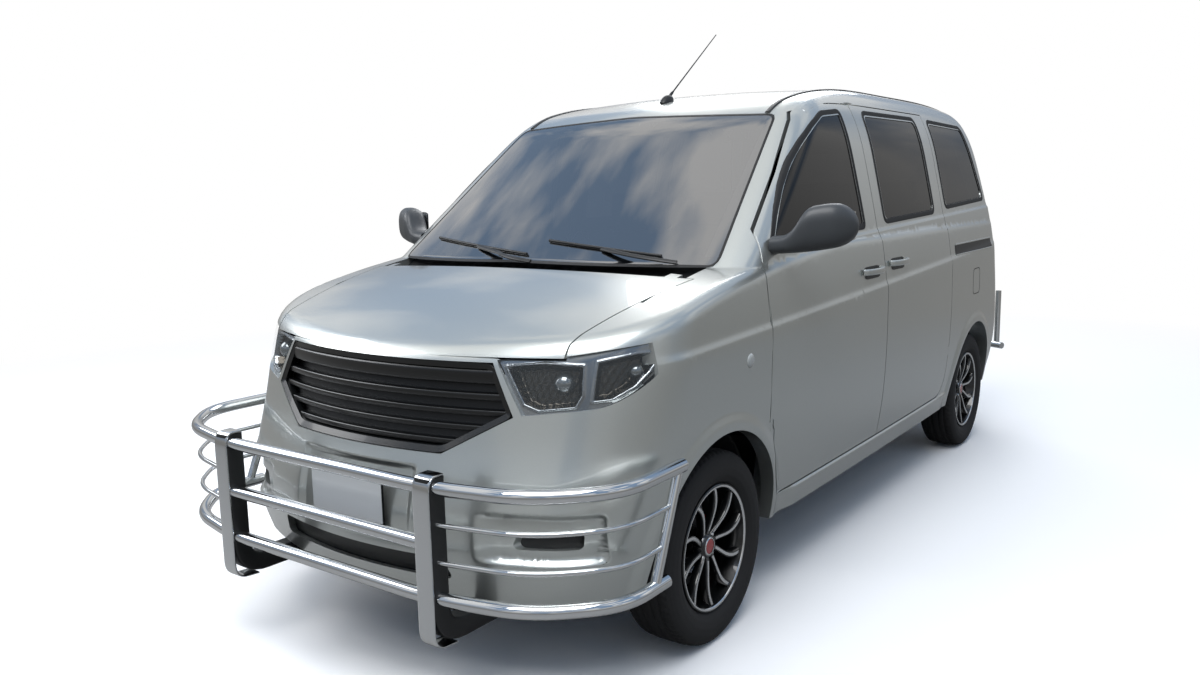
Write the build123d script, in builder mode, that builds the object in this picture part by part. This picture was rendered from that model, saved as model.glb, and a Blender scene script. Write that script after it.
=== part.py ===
"""Minibus: one-box van with sliding side doors, tailgate, front guard of tubes and rear guard bar.

The frame has +X to the vehicle's left, -Y to the front and +Z up. The origin is on the ground under the
middle of the overall length. All sizes are millimetres.
"""
import os
from collections import namedtuple
from math import atan2, cos, degrees, hypot, pi, sin, sqrt

from build123d import *

os.makedirs("parts", exist_ok=True)

# Overall body
WHEELBASE = 2720
FRONT_OVERHANG = 750
REAR_OVERHANG = 820
HALF_WIDTH = 840
BODY_BOTTOM = 285
BELT_HEIGHT = 1220
ROOF_HEIGHT = 1800
GUARD_REACH = 110
REAR_GUARD_REACH = 110

# Walls and clearances
WALL = 45
FENDER_WALL = 40
HOOD_WALL = 25
GLASS_SINK = 1
GLASS_THICK = 5
GLASS_LAND = 16
LAMP_GAP = 0.3
LAMP_DEPTH = 60
COWL_DEPTH = 30
COWL_WALL = 20
JAMB = 55
DOOR_BAND = 56
DOOR_BAND_ROOM = 67
PANEL_GAP = 5
SEAT_GAP = 0.3
FRAME_WALL = 80
RUNNING_GAP = 0.05

# Plan outline radii, shared by every level of the hull
NOSE_RADIUS = 1450
NOSE_CORNER = 350
SIDE_RADIUS = 80000
TAIL_CORNER = 340
TAIL_RADIUS = 2100
GLASS_RADIUS = 2200
PILLAR_RADIUS = 210
PILLAR_FLARE = 6
ROOF_CROWN = 8000
HOOD_CROWN = 7000

# Wheels and running gear
TYRE_RADIUS = 300
TYRE_WIDTH = 175
TYRE_BULGE = 52
SHOULDER_IN = 6
SHOULDER_DROP = 20
TREAD_IN = 24
BEAD_LIP = 2
RIM_RADIUS = 190
TRACK_HALF = 715
SPINDLE_RADIUS = 14
ARCH_RADIUS = 365

# Panel lines
DOOR_TOP = 1710
DOOR_BOTTOM = 365
DOOR_EDGE_LOW = 640
DOOR_EDGE_STEP = 24
DOOR_FOOT_S = 395
DOOR_PILLAR_BEND = (590, 1510)
DOOR_HEAD_S = 1120
DOOR_HEAD_DROP = 4
DOOR_FOOT_BEND = (347, 470)
DOOR_PILLAR_FOOT = 1150
DOOR_OVERRUN = 70
BAND_MIDDLE = 1400
SLIDING_DOOR_BACK = 2245
WINDOW_CORNER = 45
ROOF_DITCH = 600
HOOD_REAR_HALF = 690
HOOD_FRONT_HALF = 545
HOOD_CORNER_S = 40
HOOD_MIDDLE_S = -35
HOOD_FRONT_HEIGHT = 945
COWL_HALF = 668
COWL_TOP = 1150
LAMP_BACK = -325
TAILGATE_HALF = 615
# Corners of the tailgate window in rear view
TAIL_WINDOW = [(-520, 1235), (-495, 1610), (495, 1610), (520, 1235)]
TAIL_LAMP_FRONT = 3150
TAIL_LAMP_Z = (830, 1215)
TAIL_LAMP_CORNER = 20
LAMP_OUT = 900
REAR_BUMPER_FRONT = 3090
REAR_BUMPER_TOP = 615

# Grille
SLOT_CORNER = 14
GRILLE_GAP = 1
GRILLE_RIM = 24
GRILLE_BARS = 5
GRILLE_LOW = 690
GRILLE_PITCH = 46
GRILLE_BAR = 18

# Floor and welded structure
FLOOR_LOW = 380
FLOOR_THICK = 30
REAR_FLOOR = 500
KICK_S = 2260
FLOOR_BACK = 3400
BULKHEAD_S = 100
BULKHEAD_THICK = 25
BULKHEAD_TOP = 1080
RAIL_X = (360, 430)
RAIL_DEEP = 80
RAIL_LOW = FLOOR_LOW - RAIL_DEEP
REAR_RAIL_LOW = REAR_FLOOR - RAIL_DEEP
JACK_X = (365, 425)
JACK_S = (565, 625)
JACK_DEEP = 10
RAIL_FRONT = -600
RAIL_BACK = 700
HOUSE_IN = 438
HOUSE_OUT = 708
HOUSE_WALL = 10
HOUSE_ROOM = 1
TOWER_RADIUS = 60
TOWER_LOW = 655
TOWER_CAP = 18
TOWER_OPEN = 500

# Front suspension and wheels
KINGPIN_LOW = (670, 190)
KINGPIN_TOP = (500, 760)
ARM_LOW = 165
ARM_THICK = 22
ARM_ROOT = 90
ARM_TIP = 24
CROSS_HALF = 425
STRUT_RADIUS = 24
STRUT_PIN = 14
STRUT_FOOT = 16
STRUT_PIN_LOW = 600
STRUT_PIN_SHORT = 2
BALL_PIN = 10
BALL_PIN_TOP = 300
BALL_REACH = 60
CARRIER_DEEP = 60
SPINDLE_ROOT = 10
CARRIER_RADIUS = 42
SPINDLE_IN = 662
SPINDLE_OUT = 745
DISC_RADIUS = 100
DISC_IN = 674
DISC_OUT = 690
HUB_RADIUS = 52
CALIPER_IN = 640
CALIPER_OUT = 712
CALIPER_FRONT = 60
CALIPER_RISE = 28
CALIPER_HALF = 45
BRACKET_BACK = 100
BRACKET_HALF = 25
RIM_WIDTH = 152
BARREL_WALL = 10
FLANGE = 7
SPOKES = 10
SPOKE_WIDTH = 17
SPOKE_THICK = 22
SPOKE_FACE = 62

# Rear axle, drive line, tank and exhaust
AXLE_TUBE = 34
DIFF_RADIUS = 105
SPRING_X = 395
SPRING_RADIUS = 32
LINK_HALF = 20
LINK_SET = 20
LINK_TALL = 30
LINK_POST = 50
SHAFT_RADIUS = 30
GEARBOX_BACK = 720
GEARBOX_HALF = 85
GEARBOX_LOW = 230
ENGINE_GAP = 20
CROSS_GAP = 10
ENGINE_HALF = 230
ENGINE_FRONT = -330
ENGINE_TOP = 830
TANK_X = (80, 340)
TANK_S = (1300, 2130)
TANK_LOW = 225
TANK_CORNER = 40
EXHAUST_X = -240
EXHAUST_Z = 290
EXHAUST_ARCH_Z = 420
EXHAUST_TAIL_Z = 245
EXHAUST_RADIUS = 24
EXHAUST_BEND = 120
# Exhaust pipe: station, height
EXHAUST_ROUTE = [(200, EXHAUST_Z), (2260, EXHAUST_Z), (2480, EXHAUST_ARCH_Z), (2960, EXHAUST_ARCH_Z),
                 (3160, EXHAUST_TAIL_Z), (3500, EXHAUST_TAIL_Z)]
HANGER_HALF = (6, 15)
MUFFLER_RADIUS = 72
MUFFLER_S = (1250, 1800)
HANGERS_S = (900, 2100)

# Guards
GUARD_TUBE = 19
GUARD_SET = 3
GUARD_ROD = 7
GUARD_END_TUBE = 14
GUARD_BEND = 90
GUARD_ROD_SHORT = 55
GUARD_POST_X = 427
GUARD_POST = 56
GUARD_PLATE = 62
GUARD_FOOT = 34
GUARD_GRIP = 40
GUARD_CORNER = 10
GUARD_LOW = 240
TOW_HOLE = 10
TOW_BACK = 150
GUARD_HIGH = 690
GUARD_LOW_TUBE = 362
GUARD_MIDDLE_TUBE = 505
GUARD_TOP_TUBE = 655
GUARD_RODS = (460, 560)
GUARD_TURN_X = 700
GUARD_SWEEP = 60
GUARD_WIDE = 872
GUARD_TURN = 230
GUARD_TOP_END = -330
GUARD_LOW_END = -420
GUARD_SLANT = 0.38
REAR_BAR_HALF = 775
REAR_BAR_Z = 415
REAR_BAR_BEND_X = 625
REAR_BAR_BEND = 60
REAR_BAR_BACK = 90
REAR_POST_X = 735
REAR_POST_TOP = 740
REAR_POST_SET = 50
REAR_POST = 16
REAR_HOOK = 30
REAR_HOOK_BACK = 90
REAR_HOOK_SET = 25
REAR_HOOK_CORNER = 8

# Cabin and fittings
DASH_HALF = 690
DASH_CORNER = 30
# Dashboard in side view: distance behind the bulkhead, height
DASH_PROFILE = [(0, 760), (0, 1035), (330, 1060), (420, 985), (400, 800), (330, 690), (120, 690)]
DRIVER_X = 350
STEER_S = 690
STEER_Z = 1010
STEER_LEAN = (0.85, 0.53)
STEER_RADIUS = 180
STEER_GRIP = 14
STEER_HUB = 38
STEER_SPOKES = 3
STEER_SPOKE_WIDE = 30
STEER_SPOKE_THICK = 18
STEER_COLUMN = 260
STEER_COLUMN_RADIUS = 24
HEAD_REST = 240
HEAD_CORNER = 25
SEAT_CORNER = 28
SEAT_WIDTH = 500
BENCH_WIDTH = 820
BENCH_SINK = 90
# Seat and head rest in side view: distance behind the hip line, height above the floor
SEAT_PROFILE = [(-230, 0), (-250, 200), (-265, 320), (90, 285), (200, 790), (300, 775), (235, 240), (190, 0)]
HEAD_PROFILE = [(195, 775), (205, 960), (290, 955), (290, 770)]
SeatRow = namedtuple("SeatRow", "name places station width floor")
SEAT_ROWS = [
    SeatRow("front_seats", (DRIVER_X, -DRIVER_X), 1080, SEAT_WIDTH, FLOOR_LOW),
    SeatRow("second_row_seats", (DRIVER_X, -DRIVER_X), 1850, SEAT_WIDTH, FLOOR_LOW),
    SeatRow("rear_bench", (0,), 2760, BENCH_WIDTH, REAR_FLOOR - BENCH_SINK),
]
# Door mirror from its foot outwards
MirrorSection = namedtuple("MirrorSection", "x station height deep tall")
MIRROR_SECTIONS = [
    MirrorSection(770, 395, 1222, 90, 46),
    MirrorSection(850, 405, 1235, 100, 80),
    MirrorSection(900, 435, 1258, 120, 132),
    MirrorSection(1005, 490, 1262, 90, 110),
]
MIRROR_ROUND = 0.32
WIPERS = ((60, -560), (560, 40))
WIPER_LOW = 1160
WIPER_HIGH = 1215
WIPER_TALL = 10
WIPER_WIDE = 24
WIPER_RISE = 8
WIPER_BACK = 400
WIPER_REACH = 600
FRONT_HANDLE = (1085, 1285, 1048)
SLIDING_HANDLE = (1385, 1580, 1062)
HANDLE_ROOT = 800
HANDLE_OUT = 860
HANDLE_BAR = 13
HANDLE_TALL = 24
HANDLE_FOOT = 26
ANTENNA_X = 20
ANTENNA_S = 985
ANTENNA_BACK = 420
ANTENNA_UP = 249
ANTENNA_FOOT = 26
ANTENNA_FOOT_LOW = 110
ANTENNA_FOOT_TOP = 36
ANTENNA_WHIP = 5

# Hinges
TAILGATE_BARREL_HALF = 400
TAILGATE_LUG_X = (105, 125)
TAILGATE_LUG = 9
TAILGATE_PIN = 5
DOOR_BOSS = 11
DOOR_BOSS_LOW = 605
DOOR_PIN = 6
DOOR_PIN_GRIP = 30
HOOD_PIN = 3
HOOD_LUG = 14
SLIDING_LUG_X = (795, 815)
SLIDING_LUG_Z = (560, 1000)
SLIDING_LUG_TALL = 40
DOOR_HINGE_S = 300
DOOR_HINGE_INSET = 12
DOOR_REACH = 1033
HOOD_HINGE_S = 62
HOOD_HINGE_HEIGHT = 1106
HOOD_BARREL = 6
HOOD_HINGE_X = (600, 640)
TAILGATE_HINGE_S = 3170
TAILGATE_HINGE_DROP = 12

OVERALL = GUARD_REACH + FRONT_OVERHANG + WHEELBASE + REAR_OVERHANG + REAR_GUARD_REACH
FRONT_AXLE = GUARD_REACH + FRONT_OVERHANG - OVERALL / 2
REAR_AXLE = FRONT_AXLE + WHEELBASE
NOSE = FRONT_AXLE - FRONT_OVERHANG
TAIL = REAR_AXLE + REAR_OVERHANG
MIDDLE = (NOSE + TAIL) / 2
REACH = 3000
ZONE_IN = 200
ZONE_OUT = 1000
BOTTOM_OPEN = 20


def at(s):
    """Y of a station measured rearwards from the front axle."""
    return FRONT_AXLE + s


# Hull levels: height, nose set back, tail set back, side set in from the greatest half width
Level = namedtuple("Level", "height nose_in tail_in side_in")
HULL_LEVELS = [
    Level(BODY_BOTTOM, 40, 60, 52),
    Level(450, 0, 4, 22),
    Level(700, 58, 25, 1),
    Level(950, 125, 70, 3),
    Level(BELT_HEIGHT, 260, 100, 38),
    Level(1450, 420, 165, 84),
    Level(1640, 560, 246, 136),
    Level(1806, 690, 372, 222),
]
# Roof crown along the length: station behind the front axle, drop below the roof height
ROOF_STATIONS = [(500, 250), (735, 142), (1250, 22), (1950, 0), (2750, 10), (3700, 120)]
# Top of the hood along the length: station, height at the middle
HOOD_STATIONS = [(-900, 780), (-620, 950), (-380, 1046), (-60, 1128), (900, 1240)]
# Windshield line at the middle: height, station
SHIELD_BACK = 1500
SHIELD_LOW = (1127, 50)
SHIELD_TOP = (1650, 735)


def tangent_centre(centre_a, radius_a, centre_b, radius_b, corner, ahead):
    """Centre of a corner circle lying inside two large circles and touching both."""
    ra = radius_a - corner
    rb = radius_b - corner
    dx = centre_b[0] - centre_a[0]
    dy = centre_b[1] - centre_a[1]
    span = hypot(dx, dy)
    along = (ra * ra - rb * rb + span * span) / (2 * span)
    across = sqrt(max(ra * ra - along * along, 0))
    options = []
    for side in (1, -1):
        x = centre_a[0] + along * dx / span - side * across * dy / span
        y = centre_a[1] + along * dy / span + side * across * dx / span
        options.append((x, y))
    options = [p for p in options if p[0] > 0]
    return min(options, key=lambda p: p[1]) if ahead else max(options, key=lambda p: p[1])


def bearing(centre, point):
    """Direction in degrees from a centre to a point."""
    return degrees(atan2(point[1] - centre[1], point[0] - centre[0]))


def on_circle(centre, radius, angle):
    """Point on a circle at an angle in degrees."""
    return (centre[0] + radius * cos(angle * pi / 180), centre[1] + radius * sin(angle * pi / 180))


def arc_of(centre, radius, start, end):
    """Start, middle and end points of an arc given by its angles."""
    return tuple(on_circle(centre, radius, a) for a in (start, (start + end) / 2, end))


def mirrored(arcs):
    """The same arcs on the other side, in reverse order so that they close the outline."""
    return [tuple((-x, y) for x, y in reversed(arc)) for arc in reversed(arcs)]


def plan_arcs(level, inset):
    """Ten tangent arcs round the hull at one level, moved in by the inset."""
    half = HALF_WIDTH - level.side_in
    nose = (0, NOSE + level.nose_in + NOSE_RADIUS)
    tail = (0, TAIL - level.tail_in - TAIL_RADIUS)
    side = (half - SIDE_RADIUS, MIDDLE)
    front = tangent_centre(nose, NOSE_RADIUS, side, SIDE_RADIUS, NOSE_CORNER, True)
    rear = tangent_centre(tail, TAIL_RADIUS, side, SIDE_RADIUS, TAIL_CORNER, False)
    turn_a = bearing(nose, front)
    turn_b = bearing(side, front)
    turn_c = bearing(side, rear)
    turn_d = bearing(tail, rear)
    arcs = [
        arc_of(nose, NOSE_RADIUS - inset, -90, turn_a),
        arc_of(front, NOSE_CORNER - inset, turn_a, turn_b),
        arc_of(side, SIDE_RADIUS - inset, turn_b, turn_c),
        arc_of(rear, TAIL_CORNER - inset, turn_c, turn_d),
        arc_of(tail, TAIL_RADIUS - inset, turn_d, 90),
    ]
    return arcs + mirrored(arcs)


def shield_station(height):
    """Station of the windshield's middle line at a height."""
    rise = (height - SHIELD_LOW[0]) / (SHIELD_TOP[0] - SHIELD_LOW[0])
    return SHIELD_LOW[1] + rise * (SHIELD_TOP[1] - SHIELD_LOW[1])


def shield_arcs(level, inset):
    """Front of the cabin at one level: windshield arc and two pillar arcs, open at the back."""
    half = HALF_WIDTH - level.side_in + PILLAR_FLARE
    front = at(shield_station(level.height))
    glass = (0, front + GLASS_RADIUS)
    reach = GLASS_RADIUS - PILLAR_RADIUS
    pillar_x = half - PILLAR_RADIUS
    pillar = (pillar_x, glass[1] - sqrt(reach * reach - pillar_x * pillar_x))
    turn = bearing(glass, pillar)
    arcs = [
        arc_of(glass, GLASS_RADIUS - inset, -90, turn),
        arc_of(pillar, PILLAR_RADIUS - inset, turn, 0),
    ]
    return arcs


def crown_arc(height, radius, half):
    """Arc of a crowned panel across the vehicle."""
    drop = radius - sqrt(radius * radius - half * half)
    return (-half, height - drop), (0, height), (half, height - drop)


def hull_form(inset):
    """Whole body as a closed form, moved in by the inset and open downwards when moved in."""
    with BuildPart() as hull:
        for level in HULL_LEVELS:
            lower = BOTTOM_OPEN if inset and level is HULL_LEVELS[0] else 0
            with BuildSketch(Plane.XY.offset(level.height - lower)):
                with BuildLine():
                    for start, middle, end in plan_arcs(level, inset):
                        ThreePointArc(start, middle, end)
                make_face()
        loft()
    with BuildPart() as under_roof:
        for station, drop in ROOF_STATIONS:
            with BuildSketch(Plane.XZ.offset(-at(station))):
                with BuildLine():
                    left, top, right = crown_arc(ROOF_HEIGHT - drop - inset, ROOF_CROWN, ZONE_OUT)
                    ThreePointArc(left, top, right)
                    Polyline(right, (ZONE_OUT, 0), (-ZONE_OUT, 0), left)
                make_face()
        loft()
        with Locations((0, at(ROOF_STATIONS[0][0]) - REACH / 2, ROOF_HEIGHT)):
            Box(2 * ZONE_OUT, REACH, 2 * ROOF_HEIGHT)
    with BuildPart() as cabin_front:
        for level in HULL_LEVELS[3:]:
            with BuildSketch(Plane.XY.offset(level.height)):
                with BuildLine():
                    arcs = shield_arcs(level, inset)
                    for start, middle, end in arcs + mirrored(arcs):
                        ThreePointArc(start, middle, end)
                    right = arcs[-1][-1]
                    back = at(SHIELD_BACK)
                    Polyline(right, (right[0], back), (-right[0], back), (-right[0], right[1]))
                make_face()
        loft()
    with BuildPart() as front_air:
        for station, height in HOOD_STATIONS:
            with BuildSketch(Plane.XZ.offset(-at(station))):
                with BuildLine():
                    left, top, right = crown_arc(height - inset, HOOD_CROWN, ZONE_OUT)
                    ThreePointArc(left, top, right)
                    Polyline(right, (ZONE_OUT, REACH), (-ZONE_OUT, REACH), left)
                make_face()
        loft()
        add(cabin_front.part, mode=Mode.SUBTRACT)
    with BuildPart() as form:
        add(hull.part)
        add(under_roof.part, mode=Mode.INTERSECT)
        add(front_air.part, mode=Mode.SUBTRACT)
    return form.part


FORMS = {}


def form_at(inset):
    """Hull form at an inset, made once."""
    if inset not in FORMS:
        FORMS[inset] = hull_form(inset)
    return FORMS[inset]


def panel(zone, inner_inset, outer_inset=0):
    """Part of the body wall that lies in a zone, between two insets."""
    with BuildPart() as wall:
        add(zone)
        add(form_at(outer_inset), mode=Mode.INTERSECT)
        add(form_at(inner_inset), mode=Mode.SUBTRACT)
    return wall.part


# Zones: outlines carried straight through the body

def side_zone(outline, grow=0):
    """Side-view outline carried through the left half of the body."""
    with BuildPart() as zone:
        with BuildSketch(Plane.YZ.offset(ZONE_IN)):
            with BuildLine():
                outline()
            make_face()
            if grow:
                offset(amount=grow, kind=Kind.INTERSECTION)
        extrude(amount=ZONE_OUT - ZONE_IN)
    return zone.part


def front_zone(outline, front, back, grow=0):
    """Front-view outline carried from one station back to another."""
    with BuildPart() as zone:
        with BuildSketch(Plane.XZ.offset(-at(back))):
            with BuildLine():
                outline()
            make_face()
            if grow:
                offset(amount=grow, kind=Kind.INTERSECTION)
        extrude(amount=back - front)
    return zone.part


def top_zone(outline, low, high, grow=0):
    """Plan outline carried from one height to another."""
    with BuildPart() as zone:
        with BuildSketch(Plane.XY.offset(low)):
            with BuildLine():
                outline()
            make_face()
            if grow:
                offset(amount=grow, kind=Kind.INTERSECTION)
        extrude(amount=high - low)
    return zone.part


def block(x, s, z):
    """Box between pairs of limits across, along and up."""
    with BuildPart() as box:
        with Locations(((x[0] + x[1]) / 2, at((s[0] + s[1]) / 2), (z[0] + z[1]) / 2)):
            Box(x[1] - x[0], s[1] - s[0], z[1] - z[0])
    return box.part


def upright_cylinder(x, y, radius, low, high):
    """Cylinder standing on a vertical axis."""
    with BuildPart() as cylinder:
        with Locations((x, y, (low + high) / 2)):
            Cylinder(radius, high - low)
    return cylinder.part


def cross_cylinder(y, z, radius, left, right):
    """Cylinder lying across the vehicle."""
    with BuildPart() as cylinder:
        with Locations(Location(((left + right) / 2, y, z), (0, 90, 0))):
            Cylinder(radius, right - left)
    return cylinder.part


def cut(base, *tools):
    """Base less the tools."""
    with BuildPart() as result:
        add(base)
        for tool in tools:
            add(tool, mode=Mode.SUBTRACT)
    return result.part


def common(base, *tools):
    """What base shares with every tool."""
    with BuildPart() as result:
        add(base)
        for tool in tools:
            add(tool, mode=Mode.INTERSECT)
    return result.part


def both_sides(left):
    """A left-hand piece and its mirror image."""
    with BuildPart() as pair:
        add(left)
        mirror(about=Plane.YZ)
    return pair.part


def other_side(left):
    """The mirror image of a left-hand piece."""
    with BuildPart() as right:
        mirror(left, about=Plane.YZ)
    return right.part


def finish(name, piece):
    """Label a finished piece and write it."""
    piece.label = name
    export_step(piece, f"parts/{name}.step")


# Outlines of the panels

def front_door_outline():
    """Front door in side view, running past its rear edge, which the hinge circle cuts."""
    hinge = at(DOOR_HINGE_S)
    back = at(DOOR_HINGE_S + DOOR_REACH + DOOR_OVERRUN)
    head = (at(DOOR_HEAD_S), DOOR_TOP - DOOR_HEAD_DROP)
    foot = (at(DOOR_FOOT_S), DOOR_BOTTOM)
    step = (hinge + DOOR_EDGE_STEP, DOOR_BOSS_LOW)
    ThreePointArc((hinge, DOOR_PILLAR_FOOT), (at(DOOR_PILLAR_BEND[0]), DOOR_PILLAR_BEND[1]), head)
    Polyline(head, (back, DOOR_TOP), (back, DOOR_BOTTOM), foot)
    ThreePointArc(foot, (at(DOOR_FOOT_BEND[0]), DOOR_FOOT_BEND[1]), step)
    Polyline(step, (hinge, DOOR_EDGE_LOW), (hinge, DOOR_PILLAR_FOOT))


def sliding_door_outline():
    """Sliding door in side view, running forward past the hinge circle that cuts its front edge."""
    front = at(DOOR_HINGE_S + DOOR_REACH - DOOR_OVERRUN)
    back = at(SLIDING_DOOR_BACK)
    Polyline((front, DOOR_TOP), (back, DOOR_TOP), (back, 470))
    ThreePointArc((back, 470), (back - 28, 395), (back - 100, DOOR_BOTTOM))
    Polyline((back - 100, DOOR_BOTTOM), (front, DOOR_BOTTOM), (front, DOOR_TOP))


def front_window_outline():
    """Front door window in side view."""
    ThreePointArc((at(372), 1196), (at(628), 1452), (at(1000), 1656))
    Polyline((at(1000), 1656), (at(1195), 1674), (at(1210), 1216), (at(372), 1196))


def sliding_window_outline():
    """Sliding door window in side view."""
    FilletPolyline((at(1430), 1226), (at(1430), 1680), (at(2112), 1684), (at(2116), 1246),
                   radius=WINDOW_CORNER, close=True)


def quarter_window_outline():
    """Quarter window in side view, with its slanted rear edge."""
    FilletPolyline((at(2300), 1262), (at(2300), 1684), (at(2880), 1674), (at(3040), 1290),
                   radius=WINDOW_CORNER, close=True)


def windshield_outline():
    """Windshield in front view."""
    ThreePointArc((-588, 1640), (0, 1658), (588, 1640))
    Line((588, 1640), (662, 1134))
    ThreePointArc((662, 1134), (0, 1152), (-662, 1134))
    Line((-662, 1134), (-588, 1640))


def tail_window_outline():
    """Tailgate window in rear view."""
    FilletPolyline(*TAIL_WINDOW, radius=WINDOW_CORNER, close=True)


def tail_window_hole():
    """Hole behind the tailgate window, with plain corners."""
    Polyline(*TAIL_WINDOW, close=True)


def tailgate_outline():
    """Tailgate in rear view."""
    FilletPolyline((-TAILGATE_HALF, 640), (-TAILGATE_HALF, 1900), (TAILGATE_HALF, 1900), (TAILGATE_HALF, 640),
                   radius=60, close=True)


def hood_outline(grow=0):
    """Hood in plan, running past the nose."""
    half = HOOD_REAR_HALF + grow
    front_half = HOOD_FRONT_HALF + grow
    corner = at(HOOD_CORNER_S) + grow
    ThreePointArc((-half, corner), (0, at(HOOD_MIDDLE_S) + grow), (half, corner))
    Polyline((half, corner), (front_half, at(-900)), (-front_half, at(-900)), (-half, corner))


def hood_room_outline():
    """Hood in plan with its gap."""
    hood_outline(PANEL_GAP)


def headlamp_outline():
    """Left headlamp in front view."""
    Polyline((522, 795), (432, 938), (600, 948), (870, 992), (870, 950), (800, 906))
    ThreePointArc((800, 906), (760, 847), (690, 814))
    Line((690, 814), (522, 795))


def grille_outline():
    """Six-sided grille opening in front view."""
    Polyline((-424, 930), (424, 930), (500, 790), (306, 682), (-306, 682), (-500, 790), (-424, 930))


def fog_outline():
    """Left fog lamp slot of the front bumper in front view."""
    FilletPolyline((527, 443), (703, 443), (703, 492), (545, 492), radius=SLOT_CORNER, close=True)


def intake_outline():
    """Lower air intake of the front bumper in front view."""
    FilletPolyline((-360, 338), (360, 338), (340, 405), (-340, 405), radius=SLOT_CORNER, close=True)


def fender_outline():
    """Front fender in side view, before the arch, door, hood and lamp are cut from it."""
    Polyline((at(-560), 1165), (at(-560), 900), (at(-420), 846), (at(-195), 560), (at(-195), 200),
             (at(372), 200), (at(372), 1165), (at(-560), 1165))


def tail_lamp_outline():
    """Left tail lamp in rear view."""
    inner = TAILGATE_HALF + PANEL_GAP
    FilletPolyline((inner, TAIL_LAMP_Z[0]), (inner, TAIL_LAMP_Z[1]), (LAMP_OUT, TAIL_LAMP_Z[1]),
                   (LAMP_OUT, TAIL_LAMP_Z[0]), radius=TAIL_LAMP_CORNER, close=True)


INSIDE = form_at(FRAME_WALL)

DOOR_BOW = (MIDDLE - at(DOOR_HINGE_S)) ** 2 / (2 * SIDE_RADIUS)
DOOR_HINGE_X = HALF_WIDTH - DOOR_BOW - DOOR_HINGE_INSET
DOOR_HINGE_Y = at(DOOR_HINGE_S)
AXLE_HEIGHT = TYRE_RADIUS

door_sweep = upright_cylinder(DOOR_HINGE_X, DOOR_HINGE_Y, DOOR_REACH, 0, REACH)
door_sweep_room = upright_cylinder(DOOR_HINGE_X, DOOR_HINGE_Y, DOOR_REACH + PANEL_GAP, 0, REACH)
door_barrel = upright_cylinder(DOOR_HINGE_X, DOOR_HINGE_Y, DOOR_HINGE_INSET, DOOR_EDGE_LOW, DOOR_PILLAR_FOOT)
door_barrel_room = upright_cylinder(DOOR_HINGE_X, DOOR_HINGE_Y, DOOR_HINGE_INSET + PANEL_GAP,
                                    DOOR_EDGE_LOW - PANEL_GAP, DOOR_PILLAR_FOOT + PANEL_GAP)
front_doorway = side_zone(front_door_outline, -JAMB)
sliding_doorway = side_zone(sliding_door_outline, -JAMB)
front_arch = cross_cylinder(at(0), AXLE_HEIGHT, ARCH_RADIUS, -ZONE_OUT, ZONE_OUT)
rear_arch = cross_cylinder(REAR_AXLE, AXLE_HEIGHT, ARCH_RADIUS, -ZONE_OUT, ZONE_OUT)
windshield_zone = front_zone(windshield_outline, -200, 1000)
windshield_opening = front_zone(windshield_outline, -200, 1000, -GLASS_LAND)
tail_window_zone = front_zone(tail_window_outline, 2900, 3900)
tail_window_opening = front_zone(tail_window_hole, 2900, 3900, -GLASS_LAND)
hood_zone = top_zone(hood_outline, HOOD_FRONT_HEIGHT, REACH)
hood_room = top_zone(hood_room_outline, HOOD_FRONT_HEIGHT - PANEL_GAP, REACH)
headlamp_zone = front_zone(headlamp_outline, -1000, LAMP_BACK)
headlamp_room = front_zone(headlamp_outline, -1000, LAMP_BACK + LAMP_GAP, LAMP_GAP)
grille_zone = front_zone(grille_outline, -1000, 0)
fog_zone = front_zone(fog_outline, -1000, 0)
intake_zone = front_zone(intake_outline, -1000, 0)
tail_lamp_zone = front_zone(tail_lamp_outline, TAIL_LAMP_FRONT, 3900)
tail_lamp_room = front_zone(tail_lamp_outline, TAIL_LAMP_FRONT - LAMP_GAP, 3900, LAMP_GAP)
fender_zone = side_zone(fender_outline)
roof_zone = block((-ROOF_DITCH, ROOF_DITCH), (300, 3900), (1450, REACH))
cowl_zone = block((-COWL_HALF, COWL_HALF), (-200, 420), (900, COWL_TOP))
tailgate_zone = front_zone(tailgate_outline, TAILGATE_HINGE_S, 3900)
tailgate_room = front_zone(tailgate_outline, TAILGATE_HINGE_S - PANEL_GAP, 3900, PANEL_GAP)
rear_bumper_zone = block((-ZONE_OUT, ZONE_OUT), (REAR_BUMPER_FRONT, 3900), (0, REAR_BUMPER_TOP))
front_bumper_zone = block((-ZONE_OUT, ZONE_OUT), (-1000, 0), (0, HOOD_FRONT_HEIGHT))


def in_band(zone, set_in):
    """Part of a side zone that lies outside the door band's inner plane."""
    with BuildPart() as band:
        for level in HULL_LEVELS:
            inner = HALF_WIDTH - level.side_in - set_in
            with BuildSketch(Plane.XY.offset(level.height - BOTTOM_OPEN)):
                with Locations(((inner + ZONE_OUT) / 2, at(BAND_MIDDLE))):
                    Rectangle(ZONE_OUT - inner, REACH)
        loft(ruled=True)
        add(zone, mode=Mode.INTERSECT)
    return band.part


def largest(piece):
    """The largest solid of a piece, without slivers."""
    return piece.solids().sort_by(SortBy.VOLUME)[-1]


front_door_zone = common(in_band(side_zone(front_door_outline), DOOR_BAND), door_sweep)
front_door_room = in_band(side_zone(front_door_outline, PANEL_GAP), DOOR_BAND_ROOM)
sliding_door_zone = cut(in_band(side_zone(sliding_door_outline), DOOR_BAND), door_sweep_room)
sliding_door_room = in_band(side_zone(sliding_door_outline, PANEL_GAP), DOOR_BAND_ROOM)
GLASS_INNER = GLASS_SINK + GLASS_THICK
GLASS_SEAT = GLASS_INNER + SEAT_GAP


def glass(zone):
    """Pane that follows the body form, sunk a little below the skin."""
    return panel(zone, GLASS_INNER, GLASS_SINK)


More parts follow.
